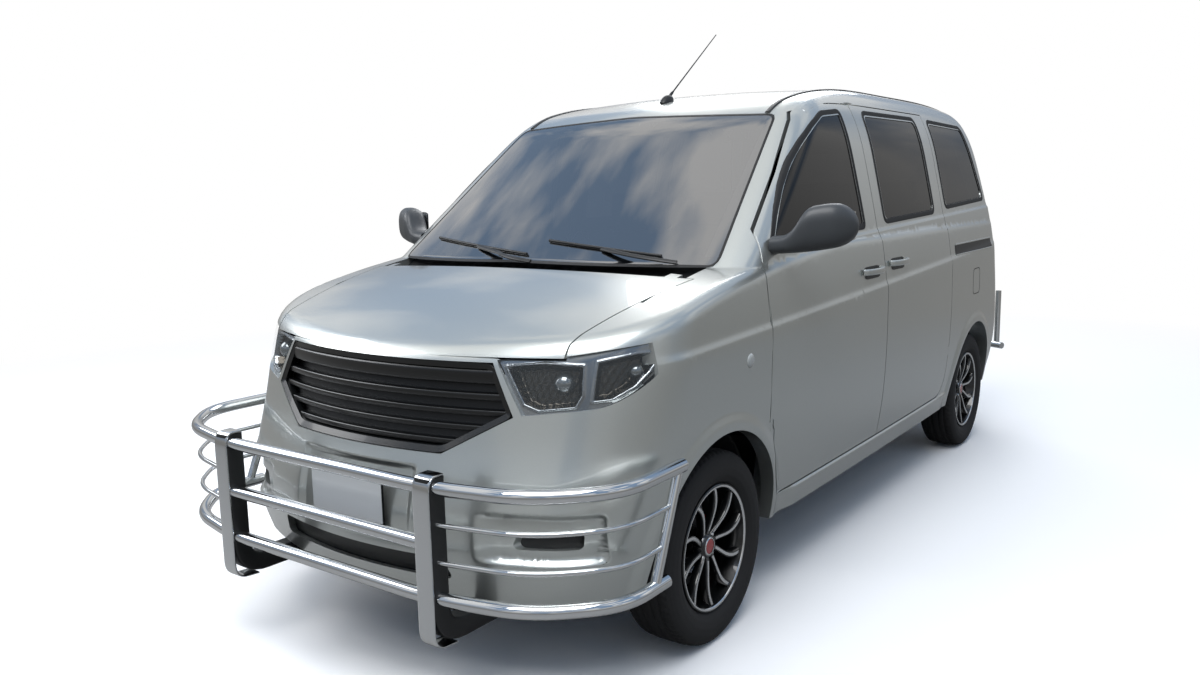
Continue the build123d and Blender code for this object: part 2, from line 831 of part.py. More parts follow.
# Hinge line of the tailgate, a little below the roof skin
hinge_stick = block((-1, 1), (TAILGATE_HINGE_S - 1, TAILGATE_HINGE_S + 1), (BELT_HEIGHT, REACH))
hinge_probe = common(hinge_stick, form_at(0))
TAILGATE_HINGE_Z = hinge_probe.bounding_box().max.Z - TAILGATE_HINGE_DROP


def tailgate_round(radius, left, right):
    """Cylinder on the tailgate's hinge line."""
    return cross_cylinder(at(TAILGATE_HINGE_S), TAILGATE_HINGE_Z, radius, left, right)


tailgate_barrel_room = tailgate_round(TAILGATE_HINGE_DROP + PANEL_GAP, -TAILGATE_BARREL_HALF - PANEL_GAP,
                                      TAILGATE_BARREL_HALF + PANEL_GAP)

# Body side: sill, pillars, cant rail and quarter panel, with pockets that the doors close into
with BuildPart() as body_side_room:
    add(block((ZONE_IN, ZONE_OUT), (-100, 3900), (0, REACH)))
    for taken in (roof_zone, fender_zone, hood_room, cowl_zone, front_arch, rear_arch, rear_bumper_zone,
                  tailgate_room, tail_lamp_room, front_doorway, sliding_doorway, windshield_opening):
        add(taken, mode=Mode.SUBTRACT)
with BuildPart() as body_side:
    add(panel(body_side_room.part, FRAME_WALL))
    for room in (front_door_room, sliding_door_room, door_barrel_room):
        add(cut(room, form_at(WALL + PANEL_GAP)), mode=Mode.SUBTRACT)
    add(cut(windshield_zone, form_at(GLASS_SEAT)), mode=Mode.SUBTRACT)
    add(cut(side_zone(quarter_window_outline), form_at(GLASS_SEAT)), mode=Mode.SUBTRACT)
    add(side_zone(quarter_window_outline, -GLASS_LAND), mode=Mode.SUBTRACT)
finish("body_sides", both_sides(largest(body_side.part)))

with BuildPart() as roof_panel:
    add(panel(cut(roof_zone, tailgate_room, tailgate_barrel_room, windshield_opening), WALL))
    add(cut(windshield_zone, form_at(GLASS_SEAT)), mode=Mode.SUBTRACT)
    for near, far in (TAILGATE_LUG_X, (-TAILGATE_LUG_X[1], -TAILGATE_LUG_X[0])):
        add(tailgate_round(TAILGATE_LUG, near, far))
        add(block((near, far), (TAILGATE_HINGE_S - 2 * TAILGATE_HINGE_DROP - TAILGATE_LUG, TAILGATE_HINGE_S),
                  (TAILGATE_HINGE_Z - TAILGATE_LUG, TAILGATE_HINGE_Z + TAILGATE_PIN)))
        add(tailgate_round(TAILGATE_PIN, near - TAILGATE_LUG, far + TAILGATE_LUG))
finish("roof_panel", roof_panel.part)

with BuildPart() as windshield:
    add(glass(front_zone(windshield_outline, 0, 1000, -SEAT_GAP)))
finish("windshield", windshield.part)

with BuildPart() as cowl:
    add(panel(cowl_zone, COWL_DEPTH + COWL_WALL, COWL_DEPTH))
    for side in (1, -1):
        lug = sorted((side * (HOOD_HINGE_X[1] + 1), side * (HOOD_HINGE_X[1] + HOOD_LUG)))
        pin = sorted((side * (HOOD_HINGE_X[0] + HOOD_PIN), side * (HOOD_HINGE_X[1] + HOOD_LUG)))
        add(block(lug, (HOOD_HINGE_S - HOOD_BARREL, HOOD_HINGE_S + HOOD_BARREL),
                  (HOOD_HINGE_HEIGHT - COWL_DEPTH, HOOD_HINGE_HEIGHT + HOOD_BARREL)))
        add(cross_cylinder(at(HOOD_HINGE_S), HOOD_HINGE_HEIGHT, HOOD_PIN, *pin))
finish("cowl", cowl.part)

with BuildPart() as front_fender:
    add(panel(cut(fender_zone, hood_room, headlamp_room, front_door_room, door_barrel_room, front_arch,
                  cowl_zone, windshield_zone), FENDER_WALL))
    add(upright_cylinder(DOOR_HINGE_X, DOOR_HINGE_Y, DOOR_BOSS, DOOR_BOSS_LOW, DOOR_EDGE_LOW - PANEL_GAP))
    add(upright_cylinder(DOOR_HINGE_X, DOOR_HINGE_Y, DOOR_PIN, DOOR_BOSS_LOW, DOOR_EDGE_LOW + DOOR_PIN_GRIP))
finish("front_fenders", both_sides(largest(front_fender.part)))

with BuildPart() as hood:
    add(panel(hood_zone, HOOD_WALL))
    hinge_z = (HOOD_HINGE_HEIGHT - HOOD_BARREL, HOOD_HINGE_HEIGHT + HOOD_BARREL)
    for side in (1, -1):
        edges = sorted((side * HOOD_HINGE_X[0], side * HOOD_HINGE_X[1]))
        add(block(edges, (0, HOOD_HINGE_S), hinge_z))
        add(cross_cylinder(at(HOOD_HINGE_S), HOOD_HINGE_HEIGHT, HOOD_BARREL, *edges))
        add(cross_cylinder(at(HOOD_HINGE_S), HOOD_HINGE_HEIGHT, HOOD_PIN + RUNNING_GAP, *edges),
            mode=Mode.SUBTRACT)
finish("hood", hood.part)

with BuildPart() as front_bumper:
    add(panel(cut(front_bumper_zone, both_sides(fender_zone), both_sides(headlamp_room), hood_room,
                  front_arch, grille_zone, both_sides(fog_zone), intake_zone), WALL))
finish("front_bumper", largest(front_bumper.part))

with BuildPart() as headlamp:
    add(panel(cut(headlamp_zone, hood_room), LAMP_DEPTH))
finish("headlamps", both_sides(headlamp.part))

with BuildPart() as rear_bumper:
    add(panel(cut(rear_bumper_zone, rear_arch), WALL))
finish("rear_bumper", rear_bumper.part)

with BuildPart() as tail_lamp:
    add(panel(tail_lamp_zone, LAMP_DEPTH))
finish("tail_lamps", both_sides(tail_lamp.part))

with BuildPart() as front_door:
    add(panel(front_door_zone, WALL))
    add(common(form_at(0), door_barrel))
    add(upright_cylinder(DOOR_HINGE_X, DOOR_HINGE_Y, DOOR_BOSS + PANEL_GAP, DOOR_BOSS_LOW - PANEL_GAP,
                         DOOR_EDGE_LOW), mode=Mode.SUBTRACT)
    add(upright_cylinder(DOOR_HINGE_X, DOOR_HINGE_Y, DOOR_PIN + RUNNING_GAP, DOOR_BOSS_LOW,
                         DOOR_EDGE_LOW + DOOR_PIN_GRIP + PANEL_GAP), mode=Mode.SUBTRACT)
    add(cut(side_zone(front_window_outline), form_at(GLASS_SEAT)), mode=Mode.SUBTRACT)
    add(side_zone(front_window_outline, -GLASS_LAND), mode=Mode.SUBTRACT)
finish("front_door_left", front_door.part)
finish("front_door_right", other_side(front_door.part))

with BuildPart() as front_door_glass:
    add(glass(side_zone(front_window_outline, -SEAT_GAP)))
finish("front_door_glass_left", front_door_glass.part)
finish("front_door_glass_right", other_side(front_door_glass.part))

with BuildPart() as sliding_door:
    add(panel(sliding_door_zone, WALL))
    for low in SLIDING_LUG_Z:
        back = SLIDING_DOOR_BACK + PANEL_GAP - SEAT_GAP
        add(block(SLIDING_LUG_X, (SLIDING_DOOR_BACK - SLIDING_LUG_TALL, back), (low, low + SLIDING_LUG_TALL)))
    add(cut(side_zone(sliding_window_outline), form_at(GLASS_SEAT)), mode=Mode.SUBTRACT)
    add(side_zone(sliding_window_outline, -GLASS_LAND), mode=Mode.SUBTRACT)
finish("sliding_doors", both_sides(sliding_door.part))

with BuildPart() as side_glass:
    for outline in (sliding_window_outline, quarter_window_outline):
        add(glass(side_zone(outline, -SEAT_GAP)))
finish("side_glass", both_sides(side_glass.part))

# Tailgate, hinged across the rear edge of the roof
with BuildPart() as tailgate:
    add(panel(tailgate_zone, WALL))
    add(common(form_at(0), tailgate_round(TAILGATE_HINGE_DROP, -TAILGATE_BARREL_HALF, TAILGATE_BARREL_HALF)))
    for near, far in (TAILGATE_LUG_X, (-TAILGATE_LUG_X[1], -TAILGATE_LUG_X[0])):
        add(tailgate_round(TAILGATE_HINGE_DROP + PANEL_GAP, near - PANEL_GAP, far + PANEL_GAP),
            mode=Mode.SUBTRACT)
        add(tailgate_round(TAILGATE_PIN + RUNNING_GAP, near - 2 * TAILGATE_LUG, far + 2 * TAILGATE_LUG),
            mode=Mode.SUBTRACT)
    add(cut(tail_window_zone, form_at(GLASS_SEAT)), mode=Mode.SUBTRACT)
    add(tail_window_opening, mode=Mode.SUBTRACT)
finish("tailgate", tailgate.part)

with BuildPart() as tailgate_glass:
    add(glass(front_zone(tail_window_outline, 2900, 3900, -SEAT_GAP)))
finish("tailgate_glass", tailgate_glass.part)

# Grille: a rim round the six-sided opening, horizontal bars and a closed back
with BuildPart() as grille_space:
    add(front_zone(grille_outline, -1000, 0, -GRILLE_GAP))
with BuildPart() as grille_hole:
    add(front_zone(grille_outline, -1000, 0, -GRILLE_GAP - GRILLE_RIM))
with BuildPart() as grille_bars:
    for row in range(GRILLE_BARS):
        with Locations((0, at(-500), GRILLE_LOW + (row + 0.5) * GRILLE_PITCH)):
            Box(2 * ZONE_OUT, 1000, GRILLE_BAR)
    add(grille_hole.part, mode=Mode.INTERSECT)
with BuildPart() as grille:
    add(panel(cut(grille_space.part, grille_hole.part), WALL, GLASS_SINK))
    add(panel(grille_bars.part, WALL, GLASS_INNER))
    add(panel(grille_space.part, WALL, FENDER_WALL))
finish("grille", grille.part)

# Floor, bulkhead, rails, wheel houses and strut towers, welded into one structure
KINGPIN = Vector(KINGPIN_TOP[0] - KINGPIN_LOW[0], 0, KINGPIN_TOP[1] - KINGPIN_LOW[1])


def kingpin_plane(height):
    """Plane square to the left steering axis where it passes a height."""
    share = (height - KINGPIN_LOW[1]) / (KINGPIN_TOP[1] - KINGPIN_LOW[1])
    x = KINGPIN_LOW[0] + share * (KINGPIN_TOP[0] - KINGPIN_LOW[0])
    return Plane(origin=(x, at(0), height), x_dir=(0, 1, 0), z_dir=KINGPIN)


def kingpin_cylinder(radius, low, high):
    """Cylinder on the left steering axis between two heights."""
    plane = kingpin_plane(low)
    with BuildPart() as cylinder:
        with BuildSketch(plane):
            Circle(radius)
        extrude(amount=(kingpin_plane(high).origin - plane.origin).length)
    return cylinder.part


with BuildPart() as floor_plates:
    across = (-ZONE_OUT, ZONE_OUT)
    add(block(across, (BULKHEAD_S, KICK_S), (FLOOR_LOW, FLOOR_LOW + FLOOR_THICK)))
    add(block(across, (KICK_S - FLOOR_THICK, KICK_S), (FLOOR_LOW, REAR_FLOOR + FLOOR_THICK)))
    add(block(across, (KICK_S - FLOOR_THICK, FLOOR_BACK), (REAR_FLOOR, REAR_FLOOR + FLOOR_THICK)))
    add(block(across, (BULKHEAD_S, BULKHEAD_S + BULKHEAD_THICK), (FLOOR_LOW, BULKHEAD_TOP)))
    add(INSIDE, mode=Mode.INTERSECT)
with BuildPart() as wheel_house:
    for axle in (at(0), REAR_AXLE):
        add(cross_cylinder(axle, AXLE_HEIGHT, ARCH_RADIUS + HOUSE_WALL, HOUSE_IN - HOUSE_WALL, HOUSE_OUT))
    add(block((0, ZONE_OUT), (-REACH, 2 * REACH), (-REACH, FLOOR_LOW)), mode=Mode.SUBTRACT)
with BuildPart() as strut_tower:
    add(kingpin_cylinder(TOWER_RADIUS, TOWER_LOW, KINGPIN_TOP[1]))
with BuildPart() as floor_pan:
    add(floor_plates.part)
    add(both_sides(wheel_house.part))
    add(both_sides(strut_tower.part))
    add(both_sides(block(RAIL_X, (RAIL_FRONT, RAIL_BACK), (RAIL_LOW, FLOOR_LOW))))
    add(both_sides(block(RAIL_X, (KICK_S, FLOOR_BACK), (REAR_RAIL_LOW, REAR_FLOOR))))
    add(both_sides(block(JACK_X, JACK_S, (RAIL_LOW - JACK_DEEP, RAIL_LOW))))
    for axle in (at(0), REAR_AXLE):
        wheel_room = cross_cylinder(axle, AXLE_HEIGHT, ARCH_RADIUS + HOUSE_ROOM, HOUSE_IN, ZONE_OUT)
        add(both_sides(wheel_room), mode=Mode.SUBTRACT)
    strut_room = kingpin_cylinder(TOWER_RADIUS - HOUSE_WALL, TOWER_OPEN, KINGPIN_TOP[1] - TOWER_CAP)
    pin_hole = kingpin_cylinder(STRUT_PIN + RUNNING_GAP, TOWER_OPEN, KINGPIN_TOP[1] + TOWER_RADIUS)
    add(both_sides(strut_room), mode=Mode.SUBTRACT)
    add(both_sides(pin_hole), mode=Mode.SUBTRACT)
finish("floor_pan", floor_pan.part)

# Front suspension: crossmember and lower arms
with BuildPart() as arm:
    with BuildSketch(Plane.XY.offset(ARM_LOW)):
        with BuildLine():
            tip = KINGPIN_LOW[0] + ARM_TIP
            Polyline((CROSS_HALF, at(-ARM_ROOT)), (CROSS_HALF, at(ARM_ROOT)), (tip, at(ARM_TIP)),
                     (tip, at(-ARM_TIP)), close=True)
        make_face()
    extrude(amount=ARM_THICK)
with BuildPart() as front_suspension:
    add(block((-CROSS_HALF, CROSS_HALF), (-ARM_ROOT, ARM_ROOT), (ARM_LOW, RAIL_LOW)))
    add(both_sides(arm.part))
    ball_hole = kingpin_cylinder(BALL_PIN + RUNNING_GAP, ARM_LOW - BALL_REACH, ARM_LOW + BALL_REACH)
    add(both_sides(ball_hole), mode=Mode.SUBTRACT)
finish("front_suspension", front_suspension.part)

# Steering knuckle: strut and ball pin on the steering axis, hub carrier, spindle and brake caliper
with BuildPart() as knuckle:
    strut_low = ARM_LOW + ARM_THICK + STRUT_FOOT
    add(kingpin_cylinder(STRUT_RADIUS, strut_low, KINGPIN_TOP[1] - TOWER_CAP - PANEL_GAP))
    add(kingpin_cylinder(STRUT_PIN, STRUT_PIN_LOW, KINGPIN_TOP[1] - STRUT_PIN_SHORT))
    add(kingpin_cylinder(BALL_PIN, ARM_LOW, BALL_PIN_TOP))
    add(cross_cylinder(at(0), AXLE_HEIGHT, CARRIER_RADIUS, KINGPIN_LOW[0] - CARRIER_DEEP, SPINDLE_IN))
    add(block((CALIPER_IN, CALIPER_OUT), (CALIPER_FRONT, DISC_RADIUS + CALIPER_RISE),
              (AXLE_HEIGHT - CALIPER_HALF, AXLE_HEIGHT + CALIPER_HALF)))
    add(block((CALIPER_IN, SPINDLE_IN), (0, BRACKET_BACK),
              (AXLE_HEIGHT - BRACKET_HALF, AXLE_HEIGHT + BRACKET_HALF)))
    add(cross_cylinder(at(0), AXLE_HEIGHT, DISC_RADIUS + PANEL_GAP, DISC_IN - PANEL_GAP,
                       DISC_OUT + PANEL_GAP), mode=Mode.SUBTRACT)
    add(cross_cylinder(at(0), AXLE_HEIGHT, HUB_RADIUS + PANEL_GAP, DISC_IN - PANEL_GAP, ZONE_OUT),
        mode=Mode.SUBTRACT)
    add(cross_cylinder(at(0), AXLE_HEIGHT, SPINDLE_RADIUS, SPINDLE_IN - SPINDLE_ROOT, SPINDLE_OUT))
finish("knuckle_left", knuckle.part)
finish("knuckle_right", other_side(knuckle.part))

# Wheel: barrel, ten spokes, hub and brake disc in one turning piece
with BuildPart() as wheel:
    with BuildSketch(Plane.XZ.offset(-at(0))):
        with BuildLine():
            half = RIM_WIDTH / 2
            Polyline((TRACK_HALF - half, AXLE_HEIGHT + RIM_RADIUS - BARREL_WALL),
                     (TRACK_HALF - half, AXLE_HEIGHT + RIM_RADIUS + FLANGE),
                     (TRACK_HALF - half + FLANGE, AXLE_HEIGHT + RIM_RADIUS + FLANGE),
                     (TRACK_HALF - half + FLANGE, AXLE_HEIGHT + RIM_RADIUS),
                     (TRACK_HALF + half - FLANGE, AXLE_HEIGHT + RIM_RADIUS),
                     (TRACK_HALF + half - FLANGE, AXLE_HEIGHT + RIM_RADIUS + FLANGE),
                     (TRACK_HALF + half, AXLE_HEIGHT + RIM_RADIUS + FLANGE),
                     (TRACK_HALF + half, AXLE_HEIGHT + RIM_RADIUS - BARREL_WALL), close=True)
        make_face()
    revolve(axis=Axis((0, at(0), AXLE_HEIGHT), (1, 0, 0)))
    add(cross_cylinder(at(0), AXLE_HEIGHT, HUB_RADIUS, DISC_IN, TRACK_HALF + SPOKE_FACE))
    add(cross_cylinder(at(0), AXLE_HEIGHT, DISC_RADIUS, DISC_IN, DISC_OUT))
    with BuildSketch(Plane.YZ.offset(TRACK_HALF + SPOKE_FACE - SPOKE_THICK)):
        with Locations((at(0), AXLE_HEIGHT)):
            with PolarLocations(0, SPOKES):
                with Locations((0, (RIM_RADIUS - BARREL_WALL + HUB_RADIUS) / 2)):
                    Rectangle(SPOKE_WIDTH, RIM_RADIUS - HUB_RADIUS)
    extrude(amount=SPOKE_THICK)
    add(cross_cylinder(at(0), AXLE_HEIGHT, SPINDLE_RADIUS + RUNNING_GAP, 0, SPINDLE_OUT + PANEL_GAP),
        mode=Mode.SUBTRACT)

with BuildPart() as tyre:
    with BuildSketch(Plane.XZ.offset(-at(0))):
        with BuildLine():
            bead = RIM_WIDTH / 2 - FLANGE - SEAT_GAP
            lip = RIM_RADIUS + FLANGE + BEAD_LIP
            side = TYRE_WIDTH / 2
            Polyline(*[(TRACK_HALF + across, AXLE_HEIGHT + out) for across, out in (
                (-bead, RIM_RADIUS + SEAT_GAP), (-bead, lip), (-side, RIM_RADIUS + TYRE_BULGE),
                (-side + SHOULDER_IN, TYRE_RADIUS - SHOULDER_DROP), (-side + TREAD_IN, TYRE_RADIUS),
                (side - TREAD_IN, TYRE_RADIUS), (side - SHOULDER_IN, TYRE_RADIUS - SHOULDER_DROP),
                (side, RIM_RADIUS + TYRE_BULGE), (bead, lip), (bead, RIM_RADIUS + SEAT_GAP))], close=True)
        make_face()
    revolve(axis=Axis((0, at(0), AXLE_HEIGHT), (1, 0, 0)))

for axle_name, shift in (("front", 0), ("rear", WHEELBASE)):
    for piece_name, piece in (("wheel", wheel.part), ("tyre", tyre.part)):
        with BuildPart() as placed:
            with Locations((0, shift, 0)):
                add(piece)
        finish(f"{piece_name}_{axle_name}_left", placed.part)
        finish(f"{piece_name}_{axle_name}_right", other_side(placed.part))

# Rear live axle with differential, links and springs, and the drive shaft ahead of it
with BuildPart() as rear_axle:
    add(cross_cylinder(REAR_AXLE, AXLE_HEIGHT, AXLE_TUBE, -SPINDLE_IN, SPINDLE_IN))
    add(cross_cylinder(REAR_AXLE, AXLE_HEIGHT, SPINDLE_RADIUS, -SPINDLE_OUT, SPINDLE_OUT))
    with Locations((0, REAR_AXLE, AXLE_HEIGHT)):
        Sphere(DIFF_RADIUS)
    for side in (1, -1):
        spring_top = REAR_RAIL_LOW - SEAT_GAP
        link_x = (side * SPRING_X - LINK_HALF, side * SPRING_X + LINK_HALF)
        link_front = KICK_S + LINK_SET
        link_z = (AXLE_HEIGHT - LINK_TALL / 2, AXLE_HEIGHT + LINK_TALL / 2)
        add(upright_cylinder(side * SPRING_X, REAR_AXLE, SPRING_RADIUS, AXLE_HEIGHT, spring_top))
        add(block(link_x, (link_front, WHEELBASE), link_z))
        add(block(link_x, (link_front, link_front + LINK_POST), (link_z[0], spring_top)))
    with BuildSketch(Plane.XZ.offset(-at(GEARBOX_BACK + SEAT_GAP))):
        with Locations((0, AXLE_HEIGHT)):
            Circle(SHAFT_RADIUS)
    extrude(until=Until.NEXT, dir=(0, 1, 0))
finish("rear_axle", rear_axle.part)

# Engine and gearbox as plain blocks
with BuildPart() as engine:
    engine_low = RAIL_LOW + SEAT_GAP
    add(block((-ENGINE_HALF, ENGINE_HALF), (ENGINE_FRONT, BULKHEAD_S - ENGINE_GAP), (engine_low, ENGINE_TOP)))
    add(block((-GEARBOX_HALF, GEARBOX_HALF), (0, GEARBOX_BACK), (GEARBOX_LOW, FLOOR_LOW - PANEL_GAP)))
    add(block((-CROSS_HALF, CROSS_HALF), (-ARM_ROOT - CROSS_GAP, ARM_ROOT + CROSS_GAP), (0, engine_low)),
        mode=Mode.SUBTRACT)
finish("engine_block", engine.part)

with BuildPart() as fuel_tank:
    add(block(TANK_X, TANK_S, (TANK_LOW, FLOOR_LOW - SEAT_GAP)))
    fillet(fuel_tank.edges().filter_by(Axis.Z), radius=TANK_CORNER)
finish("fuel_tank", fuel_tank.part)

with BuildPart() as exhaust:
    with BuildLine() as pipe_line:
        FilletPolyline(*[(EXHAUST_X, at(s), z) for s, z in EXHAUST_ROUTE], radius=EXHAUST_BEND)
    with BuildSketch(Plane(origin=pipe_line.line @ 0, z_dir=pipe_line.line % 0)):
        Circle(EXHAUST_RADIUS)
    sweep()
    with BuildSketch(Plane.XZ.offset(-at(MUFFLER_S[1]))):
        with Locations((EXHAUST_X, EXHAUST_Z)):
            Circle(MUFFLER_RADIUS)
    extrude(amount=MUFFLER_S[1] - MUFFLER_S[0])
    for s in HANGERS_S:
        add(block((EXHAUST_X - HANGER_HALF[0], EXHAUST_X + HANGER_HALF[0]),
                  (s - HANGER_HALF[1], s + HANGER_HALF[1]), (EXHAUST_Z, FLOOR_LOW - SEAT_GAP)))
finish("exhaust", exhaust.part)

# Front guard: two uprights hooked under the bumper, cross tubes and a wing of tubes round each corner
GUARD_Y = NOSE - GUARD_REACH + GUARD_TUBE + GUARD_SET


def tube(points, radius, bend):
    """Round tube along straight runs joined by bends."""
    with BuildPart() as piece:
        with BuildLine() as route:
            if bend:
                FilletPolyline(*points, radius=bend)
            else:
                Polyline(*points)
        with BuildSketch(Plane(origin=route.line @ 0, z_dir=route.line % 0)):
            Circle(radius)
        sweep()
    return piece.part


def wing_route(height, end, start):
    """Route of a guard tube from a place behind the upright round the corner to its end."""
    return [(start, GUARD_Y, height), (GUARD_TURN_X, GUARD_Y + GUARD_SWEEP, height),
            (GUARD_WIDE, GUARD_Y + GUARD_TURN, height), (GUARD_WIDE, at(end), height)]


def hoop_route(height, end):
    """Route of a guard tube from the end of one wing across the front to the other end."""
    left = wing_route(height, end, GUARD_POST_X)
    return [(-x, y, z) for x, y, z in reversed(left)] + left


with BuildPart() as guard_post:
    with BuildSketch(Plane.YZ.offset(GUARD_POST_X - GUARD_POST / 2)):
        with BuildLine():
            front = NOSE - GUARD_REACH
            plate = front + GUARD_PLATE
            back = at(RAIL_FRONT + GUARD_GRIP)
            foot = GUARD_LOW + GUARD_FOOT
            FilletPolyline((front, GUARD_LOW), (front, GUARD_HIGH), (plate, GUARD_HIGH), (plate, foot),
                           (back - GUARD_FOOT, foot), (back - GUARD_FOOT, RAIL_LOW), (back, RAIL_LOW),
                           (back, GUARD_LOW), radius=GUARD_CORNER, close=True)
        make_face()
    extrude(amount=GUARD_POST)
    add(cross_cylinder(NOSE - GUARD_REACH + TOW_BACK, GUARD_LOW + GUARD_FOOT / 2, TOW_HOLE, 0, ZONE_OUT),
        mode=Mode.SUBTRACT)
with BuildPart() as guard_wing:
    for height in GUARD_RODS:
        end = GUARD_LOW_END - GUARD_ROD_SHORT + (height - GUARD_LOW_TUBE) * GUARD_SLANT
        add(tube(wing_route(height, end, GUARD_POST_X + GUARD_ROD), GUARD_ROD, GUARD_BEND))
    add(tube([(GUARD_WIDE, at(GUARD_TOP_END - GUARD_TUBE), GUARD_TOP_TUBE),
              (GUARD_WIDE, at(GUARD_LOW_END - GUARD_ROD_SHORT), GUARD_LOW_TUBE)], GUARD_END_TUBE, 0))
with BuildPart() as front_guard:
    add(both_sides(guard_post.part))
    add(tube(hoop_route(GUARD_TOP_TUBE, GUARD_TOP_END), GUARD_TUBE, GUARD_BEND))
    add(tube(hoop_route(GUARD_LOW_TUBE, GUARD_LOW_END), GUARD_TUBE, GUARD_BEND))
    add(both_sides(guard_wing.part))
    add(cross_cylinder(GUARD_Y, GUARD_MIDDLE_TUBE, GUARD_TUBE, -GUARD_POST_X, GUARD_POST_X))
finish("front_guard", front_guard.part)

# Rear guard: one bar behind the bumper with upright ends, on brackets that hook under the bumper
REAR_GUARD_Y = TAIL + REAR_GUARD_REACH - GUARD_TUBE
with BuildPart() as rear_guard:
    bar_end = REAR_GUARD_Y - REAR_BAR_BACK
    bar_left = [(REAR_BAR_BEND_X, REAR_GUARD_Y, REAR_BAR_Z), (REAR_BAR_HALF, bar_end, REAR_BAR_Z)]
    bar_right = [(-x, y, z) for x, y, z in reversed(bar_left)]
    add(tube(bar_right + bar_left, GUARD_TUBE, REAR_BAR_BEND))
    for side in (1, -1):
        post_y = REAR_GUARD_Y - REAR_POST_SET
        add(upright_cylinder(side * REAR_POST_X, post_y, REAR_POST, REAR_BAR_Z, REAR_POST_TOP))
        with BuildSketch(Plane.YZ.offset(side * (RAIL_X[0] + RAIL_X[1]) / 2 - GUARD_POST / 4)):
            with BuildLine():
                rail_end = at(FLOOR_BACK) - REAR_HOOK
                rail = at(FLOOR_BACK) - REAR_HOOK_BACK
                hook = REAR_GUARD_Y - REAR_HOOK_SET
                face = REAR_GUARD_Y + GUARD_TUBE / 2
                top = GUARD_LOW + REAR_HOOK
                FilletPolyline((rail, REAR_RAIL_LOW), (rail_end, REAR_RAIL_LOW), (rail_end, top), (hook, top),
                               (hook, REAR_BAR_Z), (face, REAR_BAR_Z), (face, GUARD_LOW), (rail, GUARD_LOW),
                               radius=REAR_HOOK_CORNER, close=True)
            make_face()
        extrude(amount=GUARD_POST / 2)
finish("rear_guard", rear_guard.part)

# Cabin: dashboard, steering wheel and seats
with BuildPart() as dashboard:
    with BuildSketch(Plane.YZ.offset(-ZONE_OUT)):
        with BuildLine():
            face = BULKHEAD_S + BULKHEAD_THICK + SEAT_GAP
            FilletPolyline(*[(at(face + back), height) for back, height in DASH_PROFILE], radius=DASH_CORNER,
                           close=True)
        make_face()
    extrude(amount=2 * ZONE_OUT)
    add(block((-DASH_HALF, DASH_HALF), (0, 1000), (0, REACH)), mode=Mode.INTERSECT)
finish("dashboard", dashboard.part)

STEER_PLANE = Plane(origin=(DRIVER_X, at(STEER_S), STEER_Z), x_dir=(1, 0, 0), z_dir=(0, *STEER_LEAN))
with BuildPart() as steering_wheel:
    with BuildSketch(STEER_PLANE):
        Circle(STEER_HUB)
        with PolarLocations(STEER_RADIUS / 2, STEER_SPOKES, start_angle=-90):
            Rectangle(STEER_RADIUS, STEER_SPOKE_WIDE)
    extrude(amount=STEER_SPOKE_THICK / 2, both=True)
    column_end = STEER_PLANE.from_local_coords((0, 0, -STEER_COLUMN))
    add(tube([STEER_PLANE.origin, column_end], STEER_COLUMN_RADIUS, 0))
    rim = STEER_PLANE.from_local_coords((STEER_RADIUS, 0, 0))
    with BuildSketch(Plane(origin=rim, z_dir=STEER_PLANE.y_dir)):
        Circle(STEER_GRIP)
    revolve(axis=Axis(STEER_PLANE.origin, STEER_PLANE.z_dir))
    add(dashboard.part, mode=Mode.SUBTRACT)
finish("steering_wheel", largest(steering_wheel.part))


def seat_slice(x, s, width, floor, profile, corner):
    """Side profile of part of a seat, carried across its width."""
    with BuildPart() as piece:
        with BuildSketch(Plane.YZ.offset(x - width / 2)):
            with BuildLine():
                FilletPolyline(*[(at(s + back), floor + up) for back, up in profile], radius=corner,
                               close=True)
            make_face()
        extrude(amount=width)
    return piece.part


def seat(x, s, width, floor):
    """Seat with base, cushion, leaning back and a head rest for each place."""
    heads = (x,) if width < BENCH_WIDTH else (x - width / 3, x, x + width / 3)
    with BuildPart() as piece:
        add(seat_slice(x, s, width, floor, SEAT_PROFILE, SEAT_CORNER))
        for middle in heads:
            add(seat_slice(middle, s, HEAD_REST, floor, HEAD_PROFILE, HEAD_CORNER))
    return piece.part


for row in SEAT_ROWS:
    with BuildPart() as seats:
        for x in row.places:
            add(seat(x, row.station, row.width, row.floor + FLOOR_THICK + SEAT_GAP))
        if row.floor < REAR_FLOOR < row.floor + BENCH_SINK + 1:
            add(block((-ZONE_OUT, ZONE_OUT), (0, REACH), (0, REAR_FLOOR + FLOOR_THICK + SEAT_GAP)),
                mode=Mode.SUBTRACT)
    finish(row.name, seats.part)

# Door mirror: housing on a foot that fits the door skin
with BuildPart() as mirror_body:
    for section in MIRROR_SECTIONS:
        with BuildSketch(Plane.YZ.offset(section.x)):
            with Locations((at(section.station), section.height)):
                RectangleRounded(section.deep, section.tall, section.tall * MIRROR_ROUND)
    loft()
    add(form_at(0), mode=Mode.SUBTRACT)
finish("mirror_left", largest(mirror_body.part))
finish("mirror_right", other_side(largest(mirror_body.part)))

# Door handles: bars that stand off the skin on two feet

